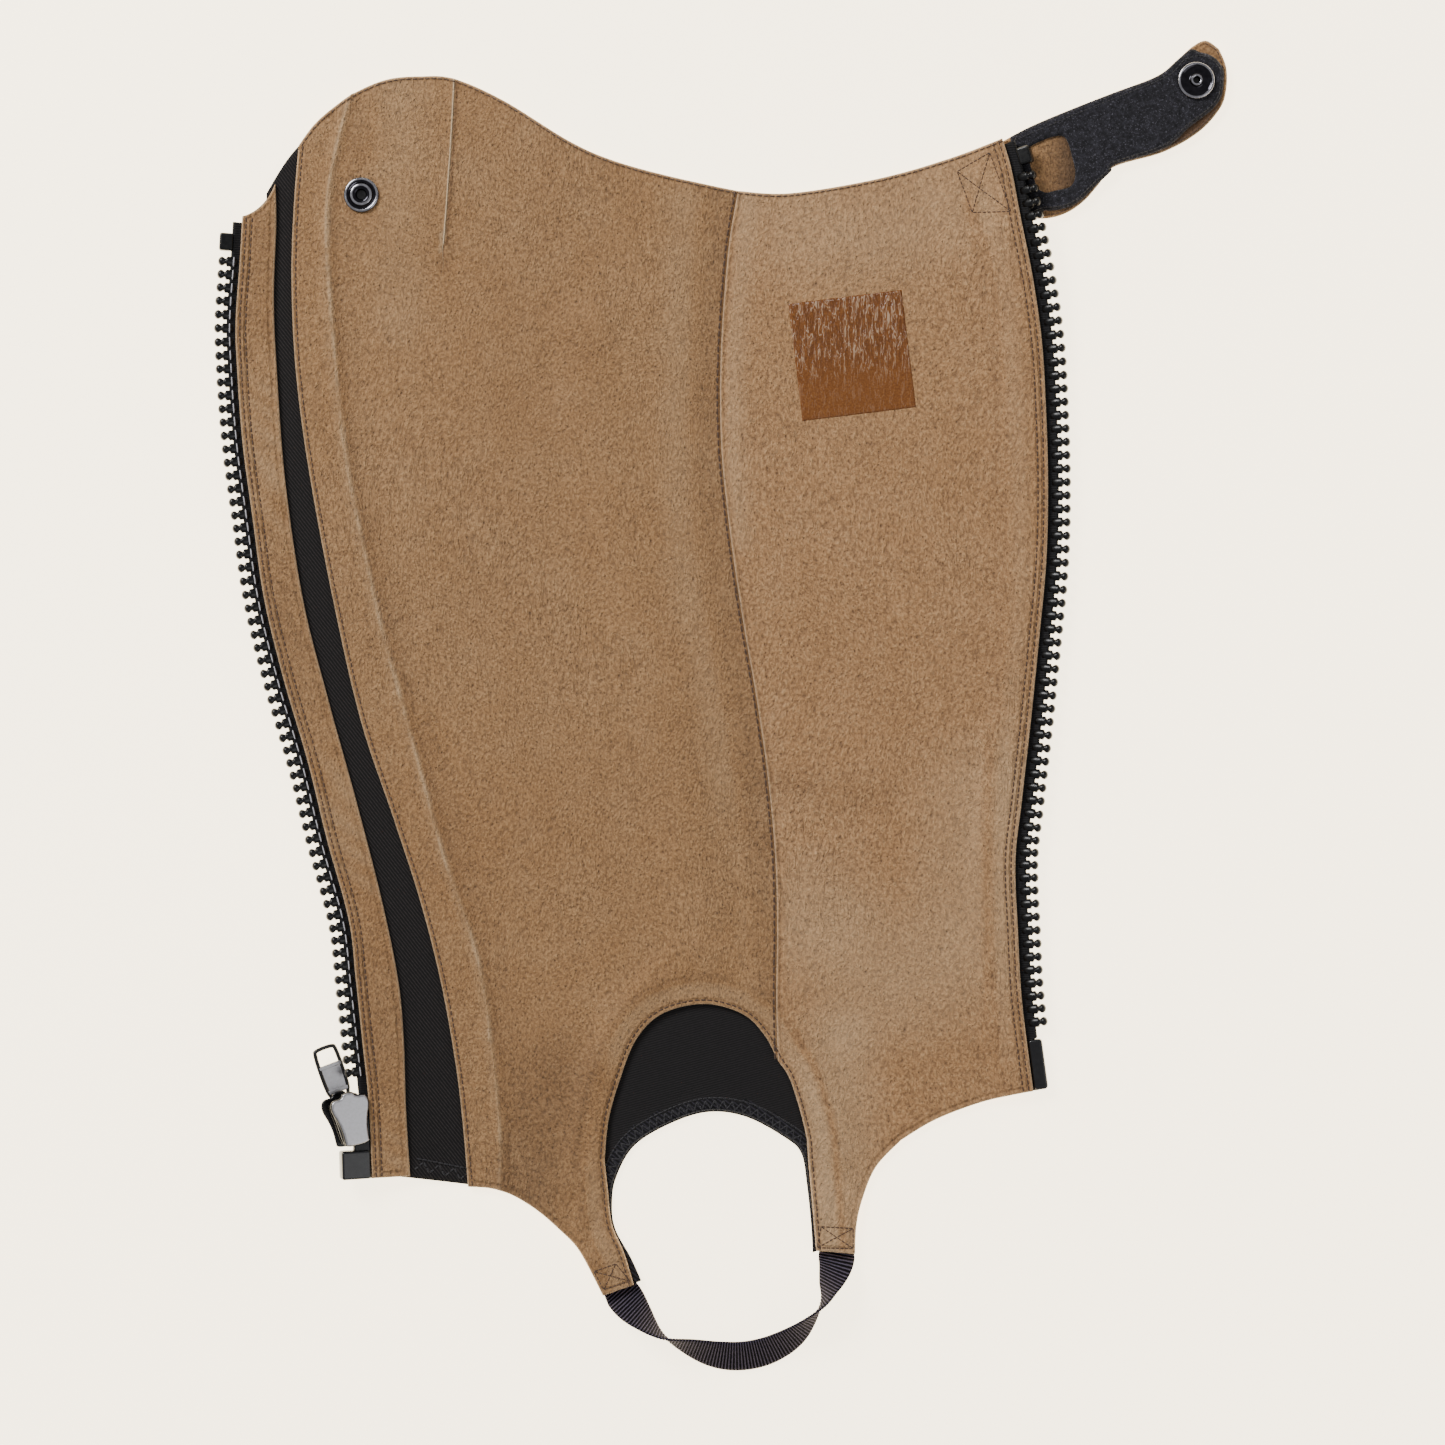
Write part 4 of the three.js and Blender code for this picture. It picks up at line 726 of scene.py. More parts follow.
# Leather panels: how many rows and columns of points each part has
panel = {"rows": 262, "ridge": 7, "leg": 30, "arch": 62, "legRows": 30, "legLength": 44, "backLeg": 26,
         "backArch": 20, "backFoot": 32}


def panelRim(names):
    return np.concatenate([resampled(curve[n], 3 + int(lengthOf(curve[n]) / 2.5)) for n in names])


def leatherMarks(count, **known):
    # What the leather's material reads at each point: a line that a piece lacks is far away
    return {key: known.get(key, np.full(count, 99.0)) for key in ("edge", "zipSide", "polish", "dart", "ridge")}


def leatherPiece(name, cadNode, grids, rimNames, zipSide, material, covered=None):
    # The covered border meets another panel, so its edge isn't pale
    plane, faces = joined(grids)
    x, y = plane.T
    marks = {
        "edge": distanceTo(panelRim([n for n in rimNames if n != covered]), x, y, 1),
        "polish": polishAt(x, y),
        "dart": -signedDistance(creases[0]["points"], x, y),
        "ridge": -signedDistance(creases[2]["points"], x, y),
    }
    if zipSide:
        marks["zipSide"] = distanceTo(curve[zipSide], x, y)
    low = leatherLow(x, y)
    high = low + chap["leather"] + relief(x, y) - rounded(distanceTo(panelRim(rimNames), x, y, 1))
    piece = wallPiece(name, plane, faces, low, high, material, leatherMarks(len(x), **marks))
    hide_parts(cadNode)
    planArea(plane, faces)


def mainPanelGrids():
    down = edged(panel["rows"], lengthOf(curve["seam"]))
    cut = edged(panel["leg"], lengthOf(curve["frontCut"]))
    overArch = np.linspace(0, 1, panel["arch"])[1:]
    bottom = np.concatenate([evenly(curve["frontCut"], cut), evenly(curve["archFront"], overArch)])
    across = runOf(bottom) / runOf(bottom)[-1]
    top, right = evenly(curve["kneeFrontLong"], across), evenly(curve["seam"], down)
    top[-1], bottom[-1] = right[0], right[-1]
    body = blendedPoints(top, bottom, evenly(curve["frontRidge"], down), right, across, down)
    narrow = edged(panel["ridge"], lengthOf(curve["footFrontShort"]), (True, False))
    front = blended(curve["kneeFrontShort"], curve["footFrontShort"], curve["gussetBack"], curve["frontRidge"],
                    narrow, down)
    legDown = edged(panel["legRows"], panel["legLength"], (False, True))
    leg = blended(curve["frontCut"], curve["frontLegEnd"], curve["footFront"], curve["frontLegInner"][::-1],
                  cut, legDown)
    return [front, body, leg]


def innerPanelGrids():
    down = edged(panel["rows"], lengthOf(curve["seam"]))
    cut = edged(panel["backLeg"], lengthOf(curve["backCut"]))
    bottom = np.concatenate([
        evenly(curve["archBack"], edged(panel["backArch"], lengthOf(curve["archBack"]), (True, False))),
        evenly(curve["backCut"], cut)[1:],
        evenly(curve["footBack"], edged(panel["backFoot"], lengthOf(curve["footBack"]), (False, True)))[1:],
    ])
    across = runOf(bottom) / runOf(bottom)[-1]
    top, left = evenly(curve["kneeInner"], across), evenly(curve["seam"], down)
    top[0], bottom[0] = left[0], left[-1]
    body = blendedPoints(top, bottom, left, evenly(curve["backEdge"], down), across, down)
    legDown = edged(panel["legRows"], panel["legLength"], (False, True))
    leg = blended(curve["backCut"], curve["backLegEnd"], curve["backLegInner"], curve["backLegOuter"], cut, legDown)
    return [body, leg]


leatherPiece(
    "mainPanel", "main_panel", mainPanelGrids(),
    ["kneeFrontShort", "kneeFrontLong", "gussetBack", "footFrontShort", "footFront", "frontLegEnd", "frontLegInner",
     "archFront", "seam"], None, frontLeather, "seam")
leatherPiece(
    "innerPanel", "inner_panel", innerPanelGrids(),
    ["kneeInner", "seam", "backEdge", "archBack", "backLegInner", "backLegEnd", "backLegOuter", "footBack"],
    "backEdge", backLeather)

strip = {"columns": 8, "width": 15, "length": 375, "kneeRows": 16, "inward": 1.5, "footward": 1.9}


def stripTop(x, y):
    return lift(x, y) + chap["fabric"] + chap["room"] + chap["leather"]


def stripPiece():
    # Hollowed at its knee end, with ripples beside its edges, and streaks and long bands of painted light and shade
    across = edged(strip["columns"], strip["width"])
    down = edged(panel["rows"], strip["length"])
    left, right = evenly(curve["frontEdge"], down), evenly(curve["stripBack"], down)
    grid = left[:, None] + (right - left)[:, None] * across[None, :, None]
    hollow = np.sin(np.pi * across)[None] * np.linspace(1, 0, strip["kneeRows"])[:, None] ** 2
    grid[: strip["kneeRows"], :, 0] += strip["inward"] * hollow
    grid[: strip["kneeRows"], :, 1] -= strip["footward"] * hollow
    foot = np.linspace(curve["frontEdge"][-1], curve["stripBack"][-1], 60)
    rim = np.concatenate([curve["frontEdge"], curve["stripBack"], foot, resampled(grid[0], 60)])
    plane, faces = joined([grid])
    x, y = plane.T
    edge = distanceTo(rim, x, y, 5)
    low = stripTop(x, y) - chap["leather"]
    ripple = 0.12 * np.sin(y / 5.3 + np.sin(y / 21)) * bump(edge / 9 - 1)
    # painted light and shade: slanting streaks by the edges and long bands down the strip
    streakShading = 0.05 * np.sin(y / 1.9 + 2 * np.sin(y / 9) + x / 2.4) * bump(edge / 6 - 0.6)
    marks = leatherMarks(len(x), edge=edge, zipSide=distanceTo(curve["frontEdge"], x, y),
                         polish=-0.02 + 0.09 * np.sin(y / 23) + streakShading)
    high = low + chap["leather"] - rounded(edge) + ripple
    piece = wallPiece("frontStrip", plane, faces, low, high, frontLeather, marks)
    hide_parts("front_strip")
    planArea(plane, faces)


stripPiece()
print("leather panels made")

# Stretch cloth: the gusset beside the front zip and the panel round the arch
gusset = {"stripLap": 5.0, "hem": 6.5, "columns": 22, "rows": 240, "kneeRows": 10, "kneeRise": 5.0, "swell": 2.8}
archCloth = {"hem": 5.6, "rows": 20, "stations": 190, "tuck": 1.4, "growth": 0.12}


def gussetPiece():
    # From under the strip to under the main panel, with a folded hem at its foot
    names = ("stripBack", "gussetBack", "frontEdge")
    stripSide, gussetSide, zipLine = (resampled(curve[n], gusset["rows"]) for n in names)
    tucked = stripSide + unit(zipLine - stripSide) * gusset["stripLap"]
    behind = gussetSide + (chap["lap"], 0)
    behind[: gusset["kneeRows"], 1] += np.linspace(gusset["kneeRise"], 0, gusset["kneeRows"])
    across = np.linspace(0, 1, gusset["columns"])
    grid = tucked[:, None] + (behind - tucked)[:, None] * across[None, :, None]
    fade = np.linspace(1, 0, gusset["kneeRows"])[:, None]
    grid[: gusset["kneeRows"], :, 1] += gusset["swell"] * np.sin(np.pi * across) * fade
    plane, faces = joined([grid])
    x, y = plane.T
    fromFoot = distanceTo(grid[-1], x, y)
    low = lift(x, y)
    hemRise = chap["hem"] * (1 - plateau(gusset["hem"] - fromFoot, 0, 0.6)) - 0.35 * rounded(fromFoot, 0.8, 0.8)
    high = low + chap["fabric"] + np.minimum(hemRise, chap["hem"])
    piece = wallPiece("elasticGusset", plane, faces, low, high, twill)
    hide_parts("elastic_gusset")
    planArea(plane, faces)


def archPiece():
    # From under the leather round the opening to its own hem, which is ribbed and has a material of its own
    share = np.linspace(0, 1, archCloth["stations"])
    outer, inner = evenly(opening, share), evenly(curve["archHem"], share)
    fromEnd = np.minimum(share, 1 - share) * lengthOf(opening)
    tuck = np.minimum(chap["lap"], archCloth["tuck"] + fromEnd * archCloth["growth"])
    outer = offsetLine(outer, tuck[:, None])
    grid = outer[:, None] + (inner - outer)[:, None] * np.linspace(0, 1, archCloth["rows"])[None, :, None]
    plane, faces = joined([grid])
    x, y = plane.T
    fromHem = distanceTo(curve["archHem"], x, y)
    low = lift(x, y) + strapRoom(x, y)
    hemRise = chap["hem"] * plateau(fromHem, archCloth["hem"], 0.7) - 0.4 * rounded(fromHem, 0.8, 0.8)
    piece = wallPiece("archPanel", plane, faces, low, low + chap["fabric"] + hemRise, knit)
    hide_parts("arch_panel")
    planArea(plane, faces)
    hemmed = np.zeros(len(piece.data.polygons), bool)
    hemmed[: len(faces)] = fromHem[faces].mean(axis=1) < archCloth["hem"]
    secondMaterial(piece, hemKnit, hemmed)


gussetPiece()
archPiece()
print("stretch cloth made")

# Stirrup strap: ribs across it, its lower rim on the floor, with its turn about the middle line in degrees
strap = {"width": 14.0, "wall": 1.3, "tuck": 7.0, "tuckRows": 80, "stations": 900, "across": 16, "rib": 1.15,
         "ribRise": 0.3, "tucked": 0.62}
strapRoute = [(0.475, 0.0, 0), (0.497, -0.016, 48), (0.525, -0.033, 90), (0.559, -0.0425, 124),
              (0.594, -0.0493, 144), (0.627, -0.0501, 148), (0.66, -0.0443, 144), (0.692, -0.031, 128),
              (0.7205, -0.0085, 90), (0.73, 0.0085, 58), (0.737, 0.022, 30), (0.74, 0.032, 0)]


def strapPiece():
    # Stations along the route; at each, a thin section whose faces swell at the ribs and fall at the selvedges
    t = np.linspace(0, len(strapRoute) - 1, strap["stations"])
    middle = cubic(np.array(strapRoute) * (chap["width"], chap["height"], 1), t)
    line, turn = middle[:, :2], np.maximum(0, middle[:, 2])
    along = unit(np.gradient(line, axis=0))
    extra = strap["tuckRows"]
    ends = np.linspace(1, 0, extra, endpoint=False)[:, None] * strap["tuck"]
    line = np.concatenate([line[:1] - along[:1] * ends, line, line[-1:] + along[-1:] * ends[::-1]])
    along = np.concatenate([np.repeat(along[:1], extra, 0), along, np.repeat(along[-1:], extra, 0)])
    turn = np.radians(np.pad(turn, extra))[:, None]
    travelled = runOf(line)
    inward = np.c_[-along[:, 1], along[:, 0], np.zeros(len(line))]
    up = np.array([0, 0, 1.0])
    side, face = inward * np.cos(turn) - up * np.sin(turn), inward * np.sin(turn) + up * np.cos(turn)
    height = (strap["wall"] * abs(np.cos(turn)) + strap["width"] * abs(np.sin(turn))) / 2
    centre = np.c_[line, height]
    rib = np.cos(2 * np.pi * travelled / strap["rib"])
    s = np.linspace(-1, 1, strap["across"])
    selvedge = 1 - plateau(1 - abs(s), 0.0, 0.16)
    half = strap["wall"] / 2 * (1 - 0.55 * (1 - selvedge) ** 2)
    wide = np.r_[np.linspace(strap["tucked"], 1, extra), np.ones(strap["stations"]),
                 np.linspace(1, strap["tucked"], extra)]
    off = side[:, None] * (s[None] * wide[:, None] * strap["width"] / 2)[..., None]
    swell = strap["ribRise"] * selvedge[None, :] * (rib[:, None] - 1) / 2
    thick = face[:, None] * (half + swell)[..., None]
    ring = np.concatenate([centre[:, None] + off + thick, (centre[:, None] + off - thick)[:, ::-1]], axis=1)
    rows, columns = ring.shape[:2]
    piece = makePiece("stirrupStrap", ring.reshape(-1, 3), flipped(tube(rows, columns)), webbingCloth,
                      attributes={"rib": np.repeat(rib / 2 + 0.5, columns)})
    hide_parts("stirrup_strap")


strapPiece()
print("strap made")

# Zip halves: how far each reaches beyond the leather, where its teeth start and end, and where its top stop is
pitch = 5.1
frontZip = {"line": curve["frontEdge"], "out": -1, "reach": 8.4, "footPiece": 11.0, "start": 15.0, "end": 35.0,
            "stop": 10.0}
backZip = {"line": curve["backEdge"], "out": 1, "reach": 9.0, "footPiece": 19.6, "start": 13.5, "end": 21.0,
           "stop": 8.6}
tape = {"rows": 420, "top": 2.2, "footEdge": 2.4, "ribs": 0.09, "ribPitch": 1.7,
        "across": np.array([0, 0.25, 0.5, 0.62, 0.74, 0.82, 0.88, 0.92, 0.96, 1.0]),
        "bead": np.array([0, 0, 0, 0, 0.02, 0.3, 0.62, 0.7, 0.5, -0.1])}
for zipHalf in (frontZip, backZip):
    zipHalf["length"] = lengthOf(zipHalf["line"])
    zipHalf["tapeEdge"] = zipHalf["reach"] - 4.6


def zipFrames(half, down, beyond):
    # Places by a zip edge: each gives its origin, and the directions right, kneeward and out of the curled cloth
    down, beyond = np.broadcast_arrays(np.asarray(down, float), np.asarray(beyond, float))
    down, beyond = down.ravel(), beyond.ravel()
    here = evenly(half["line"], down / half["length"])
    ahead = evenly(half["line"], np.clip(down - 1.5, 0, None) / half["length"])
    behind = evenly(half["line"], np.clip(down + 1.5, None, half["length"]) / half["length"])
    kneeward = unit(ahead - behind)
    at = here + np.c_[kneeward[:, 1], -kneeward[:, 0]] * (half["out"] * beyond)[:, None]
    x, y = at.T
    up = unit(np.c_[lift(x - 0.5, y) - lift(x + 0.5, y), lift(x, y - 0.5) - lift(x, y + 0.5), np.ones(len(x))])
    forward = np.c_[kneeward, np.zeros(len(x))]
    forward = unit(forward - up * (forward * up).sum(axis=1)[:, None])
    return np.c_[at, lift(x, y) + chap["fabric"] / 2], np.cross(forward, up), forward, up


def placed(frames, points):
    # One shape, given in its own right, kneeward and up directions, at every place: places by points by three
    origin, right, forward, up = frames
    return (origin[:, None] + right[:, None] * points[None, :, :1] + forward[:, None] * points[None, :, 1:2]
            + up[:, None] * points[None, :, 2:3])


def copies(shapes, faces):
    # The faces of one shape, repeated for each of its copies
    count = shapes.shape[1]
    every = []
    for size in sorted({len(face) for face in faces}):
        one = np.array([face for face in faces if len(face) == size])
        every += (one[None] + (np.arange(len(shapes)) * count)[:, None, None]).reshape(-1, size).tolist()
    return shapes.reshape(-1, 3), every


def tapePiece(name, cadNode, half):
    # Rows down the edge, columns from under the leather to the beaded rim beside the teeth
    across, rows, columns = tape["across"], tape["rows"], len(tape["across"])
    down = np.linspace(tape["top"], half["length"], rows)
    outer = np.where(down > half["length"] - half["footPiece"], tape["footEdge"], half["tapeEdge"] - 0.1)
    beyond = -chap["lap"] + (outer + chap["lap"])[:, None] * across[None]
    everyDown = np.repeat(down, columns)
    origin, right, forward, up = zipFrames(half, everyDown, beyond.ravel())
    ribs = tape["ribs"] * np.sin(2 * np.pi * everyDown / tape["ribPitch"])
    thick = (chap["fabric"] / 2 + np.tile(tape["bead"], rows) + ribs)[:, None]
    top, low = ((origin + up * thick * way).reshape(rows, columns, 3) for way in (1, -1))
    grid = np.concatenate([top, low[:, ::-1]], axis=1)
    faces = tube(rows, 2 * columns)
    piece = makePiece(name, grid.reshape(-1, 3), faces if half["out"] < 0 else flipped(faces), tapeCloth)
    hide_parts(cadNode)


# A moulded tooth: from its foot on the tape to its ball-shaped head, half widths and half heights in millimetres
tooth = {
    "out": [-2.7, -2.4, -0.6, 0.9, 1.25, 1.55, 1.85, 2.25, 2.8, 3.4, 4.0, 4.4, 4.62],
    "wide": [0.9, 1.5, 1.9, 1.95, 1.85, 1.3, 0.95, 1.35, 1.68, 1.75, 1.45, 0.95, 0.35],
    "thick": [0.9, 1.2, 1.65, 2.1, 2.15, 2.0, 1.8, 1.9, 2.1, 2.15, 1.9, 1.4, 0.7],
    "sides": 10,
}


def toothShape(direction):
    # A rounded box section that widens and narrows along the tooth
    turn = np.linspace(0, 2 * np.pi, tooth["sides"], endpoint=False) + math.pi / tooth["sides"]
    cos, sin = np.cos(turn), np.sin(turn)
    square = (abs(cos) ** 3.2 + abs(sin) ** 3.2) ** (-1 / 3.2)
    out, wide, thick = (np.array(tooth[key]) for key in ("out", "wide", "thick"))
    ring = np.stack([
        np.repeat(direction * out[:, None], tooth["sides"], axis=1),
        wide[:, None] * (cos * square)[None],
        thick[:, None] * (sin * square)[None],
    ], axis=-1)
    faces = tube(len(out), tooth["sides"])
    return ring.reshape(-1, 3), faces if direction > 0 else flipped(faces)


def toothPlaces(half):
    count = int((half["length"] - half["end"] - half["start"]) / pitch)
    return half["start"] + (np.arange(count) + 0.5) * pitch


def teethPiece(name, cadNode, half):
    shape, faces = toothShape(half["out"])
    points, every = copies(placed(zipFrames(half, toothPlaces(half), half["tapeEdge"]), shape), faces)
    piece = makePiece(name, points, every, acetal)
    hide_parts(cadNode)


def roundedBox(width, length, corner, count=6):
    # Outline of a rectangle with round corners, anticlockwise
    turns = np.linspace(0, np.pi / 2, count)
    x, y = width / 2 - corner, length / 2 - corner
    parts = [np.c_[cx + corner * np.cos(turns + k * np.pi / 2), cy + corner * np.sin(turns + k * np.pi / 2)]
             for k, (cx, cy) in enumerate([(x, y), (-x, y), (-x, -y), (x, -y)])]
    return np.concatenate(parts)


def inset(outline, amount):
    # The outline moved inwards along its normals
    lean = unit(np.roll(outline, -1, axis=0) - np.roll(outline, 1, axis=0))
    return outline + np.c_[-lean[:, 1], lean[:, 0]] * amount


def slab(outline, profile):
    # An outline carried up a profile of inset and height, closed by flat ends
    rings = [np.c_[inset(outline, away), np.full(len(outline), height)] for away, height in profile]
    return np.concatenate(rings), tube(len(rings), len(outline))


def softProfile(half, edge, steps=5):
    # A profile with both edges rounded by a quarter circle
    turn = np.linspace(0, np.pi / 2, steps)
    lower = [(edge * (1 - math.sin(t)), -half + edge * (1 - math.cos(t))) for t in turn]
    return lower + [(a, -h) for a, h in lower[::-1]]


def slabPiece(name, outline, profile, frames, material, cadNode=None):
    points, faces = slab(outline, profile)
    points, faces = copies(placed(frames, points), faces)
    piece = makePiece(name, points, faces, material)
    if cadNode:
        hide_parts(cadNode)


for zipHalf, side in ((frontZip, "front"), (backZip, "back")):
    tapePiece(side + "ZipTape", side + "_zip_tape", zipHalf)
    teethPiece(side + "ZipTeeth", side + "_zip_teeth", zipHalf)
    slabPiece(side + "TopStop", roundedBox(5.2, 6.7, 0.9), softProfile(2.25, 0.8),
              zipFrames(zipHalf, zipHalf["stop"], zipHalf["tapeEdge"] + 2.0), acetal, side + "_top_stop")

slabPiece("retainerBox", roundedBox(11.2, 10.9, 0.9), softProfile(3.05, 0.8),
          zipFrames(frontZip, frontZip["length"] - 5.5, 6.3), glossyAcetal, "retainer_box")
slabPiece("retainerNeck", roundedBox(6.4, 7.0, 0.9), softProfile(1.6, 0.6),
          zipFrames(frontZip, frontZip["length"] - 12.6, 3.6), acetal)
slabPiece("insertionPin", roundedBox(5.3, 19.4, 1.3), softProfile(1.75, 0.8),
          zipFrames(backZip, backZip["length"] - 9.8, 3.3), glossyAcetal, "insertion_pin")
print("zip halves made")

# Zip slider, and its pull, which hangs on the bridge on the outer side. The halves of the plate and of the pull are
# mirrored, the plate's in shares of its width and length
slider = {"length": 20.8, "width": 15.4, "mouth": 6.0, "beyond": 7.3, "lean": 9.0, "bar": 1.6, "drop": -5.4,
          "pullLean": 7.0, "pullTip": -2.0, "lowSize": 1.03, "lowShift": -1.7, "bridge": 1.3}
plateHalf = [(0.31, -0.5), (0.32, -0.38), (0.33, -0.2), (0.39, 0.0), (0.48, 0.17), (0.5, 0.3), (0.42, 0.41),
             (0.18, 0.41), (0.14, 0.5)]
plateProfile = [(0.5, 0), (0.1, 0), (0, 0.2), (0, 0.5), (0.4, 1.15), (0.7, 1.3), (1.2, 1.34)]
lowProfile = [(0.8, -1.3), (0.25, -1.1), (0, -0.8), (0, -0.25), (0.5, 0)]
flankLine = [(5.1, -9.3), (6.2, 0.0), (6.9, 3.3), (6.9, 6.4), (5.8, 6.4), (5.7, 3.6), (5.0, 0.3), (3.9, -9.3)]
wedgeLine = [(0, 1.2), (2.0, 8.5), (-2.0, 8.5)]
bridgeLine = [(-4, -4.2), (-4, -6.6), (-3.1, -7.5), (3.1, -7.5), (4, -6.6), (4, -4.2), (3, -4.2), (3, -6.5),
              (-3, -6.5), (-3, -4.2)]
pullHalf = [(2.9, -0.7), (3.8, 0.4), (3.8, 7.0), (5.15, 10.0), (5.15, 25.7), (3.6, 27.3)]
pull = {"rim": 1.45, "half": 0.75, "edge": 0.4, "bars": [((8.2, 1.7, 0.5), (0.7, 0.3), 9.4),
                                                        ((9.2, 1.5, 0.5), (0.72, 0.3), 19.3)],
        "dish": (8.8, 9.8, 1.2), "dishAt": 14.4,
        "dishProfile": [(0.2, -0.45), (0, -0.3), (0, 0.3), (0.3, 0.42), (1.1, 0.3)]}


def cornersCut(outline, times=2):
    # Each corner replaced by two points a quarter of the way along its sides
    for unused in range(times):
        following = np.roll(outline, -1, axis=0)
        outline = np.stack([outline * 0.75 + following * 0.25, outline * 0.25 + following * 0.75], 1).reshape(-1, 2)
    return outline


def turnedFrame(frames, degrees, first, second):
    # The frames with two of their directions turned towards each other
    frames = list(frames)
    c, s = math.cos(math.radians(degrees)), math.sin(math.radians(degrees))
    a, b = frames[first], frames[second]
    frames[first], frames[second] = a * c + b * s, b * c - a * s
    return frames


def movedFrame(frames, x, y, z):
    origin, right, forward, up = frames
    return [origin + right * x + forward * y + up * z, right, forward, up]


def gathered(parts):
    # Points and faces of several shapes as one
    points, faces, start = [], [], 0
    for partPoints, partFaces in parts:
        points.append(partPoints)
        faces += [[v + start for v in face] for face in partFaces]
        start += len(partPoints)
    return np.concatenate(points), faces


def mirrored(rows, across=1.0, along=1.0):
    # An outline from its right half
    right = np.array(rows) * (across, along)
    return cornersCut(np.concatenate([right, right[::-1] * (-1, 1)]))


sliderFrame = turnedFrame(zipFrames(frontZip, frontZip["length"] - sliderFromFoot, slider["beyond"]),
                          slider["lean"], 1, 2)
plate = mirrored(plateHalf, slider["width"], slider["length"])
reach = slider["mouth"] / 2
topPlate = slab(plate, [(away, reach + rise) for away, rise in plateProfile])
lowPlate = slab(plate * slider["lowSize"] + (slider["lowShift"], 0),
                [(away, fall - reach) for away, fall in lowProfile])
lips = []
for side in (-1, 1):
    flank = cornersCut(np.array(flankLine) * (side, 1), 1)[::side]
    for level in (1, -1):
        low, high = sorted((1.1 * level, (reach + 0.05) * level))
        lips.append(slab(flank, [(0.2, low), (0, low + 0.3), (0, high)]))
wedge = slab(cornersCut(np.array(wedgeLine), 1), [(0, -reach - 0.1), (0, reach + 0.1)])
bridgePoints, bridgeFaces = slab(np.array(bridgeLine), [(0, -slider["bridge"]), (0, slider["bridge"])])
points, faces = gathered([topPlate, lowPlate, *lips, wedge, (bridgePoints[:, [2, 0, 1]], bridgeFaces)])
sliderPiece = makePiece("zipSlider", placed(sliderFrame, points)[0], faces, nickel)
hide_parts("zip_slider")
# only the upper plate's face and the bands beside it are bare nickel, the rest is lacquered
bands, around = len(plateProfile) - 1, len(plate)
lacquered = np.ones(len(faces), bool)
lacquered[(bands - 2) * around : bands * around] = False
lacquered[bands * around + 1] = False
secondMaterial(sliderPiece, lacquer, lacquered)


def ringShape(outer, inner, half, edge):
    # A frame between two outlines of as many points, with its four long edges rounded
    run = [(0, -half + edge), (0, half - edge), (0.3, half - 0.25 * edge), (0.5, half), (0.7, half - 0.25 * edge),
           (1, half - edge), (1, -half + edge), (0.7, -half + 0.25 * edge), (0.3, -half + 0.25 * edge)]
    ring = np.stack([np.c_[outer + (inner - outer) * share, np.full(len(outer), z)] for share, z in run], axis=1)
    return ring.reshape(-1, 3), looped(*ring.shape[:2])


def shiftedSlab(box, profile, along):
    points, faces = slab(roundedBox(*box), profile)
    return points + (0, along, 0), faces


pullOuter = mirrored(pullHalf)
pullFrame = movedFrame(sliderFrame, 0, slider["bar"], slider["drop"])
pullFrame = turnedFrame(turnedFrame(pullFrame, slider["pullLean"], 1, 2), slider["pullTip"], 2, 3)
rim = ringShape(pullOuter, inset(pullOuter, pull["rim"]), pull["half"], pull["edge"])
bars = [shiftedSlab(box, softProfile(*profile), along) for box, profile, along in pull["bars"]]
points, faces = gathered([rim, *bars, shiftedSlab(pull["dish"], pull["dishProfile"], pull["dishAt"])])
pullPiece = makePiece("pullTab", placed(pullFrame, points)[0], faces, nickel, body="pull")
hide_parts("pull_tab")
# walls that stand steeply are lacquered
normals = np.empty(len(faces) * 3, np.float32)
pullPiece.data.polygons.foreach_get("normal", normals)
secondMaterial(pullPiece, lacquer, normals[2::3] < 0.35)
print("slider and pull made")

# Closing tab at the knee: tan leather, black suede over it with a window, and the press stud
tab = {"level": 1.3, "wall": 1.4, "backing": 3.0, "backingWall": 1.0, "under": 0.45, "shadeX": 327.0, "shadeY": 438}
tabUpper = [(0.944, 0.9465), (0.98, 0.959), (1.03, 0.973), (1.08, 0.986), (1.133, 0.9995), (1.16, 1.014),
            (1.178, 1.0245)]
tabNose = [(1.194, 1.029), (1.21, 1.022), (1.219, 1.0065), (1.2185, 0.987)]
tabLower = [(1.21, 0.972), (1.184, 0.9535), (1.141, 0.9375), (1.081, 0.9255), (1.062, 0.911), (1.044, 0.8975),
            (1.022, 0.8875), (0.995, 0.883), (0.958, 0.885)]
tuckedEnd = [(0.89, 0.92), (0.91, 0.888)]
backingOutline = [(0.955, 0.9485), (1.026, 0.969), (1.085, 0.985), (1.133, 0.998), (1.151, 1.005), (1.163, 1.014),
                  (1.175, 1.0175), (1.19, 1.0185), (1.205, 1.014), (1.2145, 1.0055), (1.2155, 0.9965),
                  (1.2125, 0.983), (1.201, 0.972), (1.174, 0.958), (1.143, 0.9405), (1.081, 0.9265),
                  (1.077, 0.9215), (1.0555, 0.908), (1.038, 0.897), (1.02, 0.891), (0.996, 0.889), (0.967, 0.8905)]
backingWindow = [(0.972, 0.939), (0.985, 0.9445), (1.007, 0.95), (1.021, 0.9485), (1.0295, 0.932), (1.033, 0.919),
                 (1.027, 0.909), (1.008, 0.9055), (0.996, 0.904), (0.986, 0.9085), (0.979, 0.923)]


def closedThrough(rows, count):
    return through(rows + rows[:1], count + 1)[:-1]


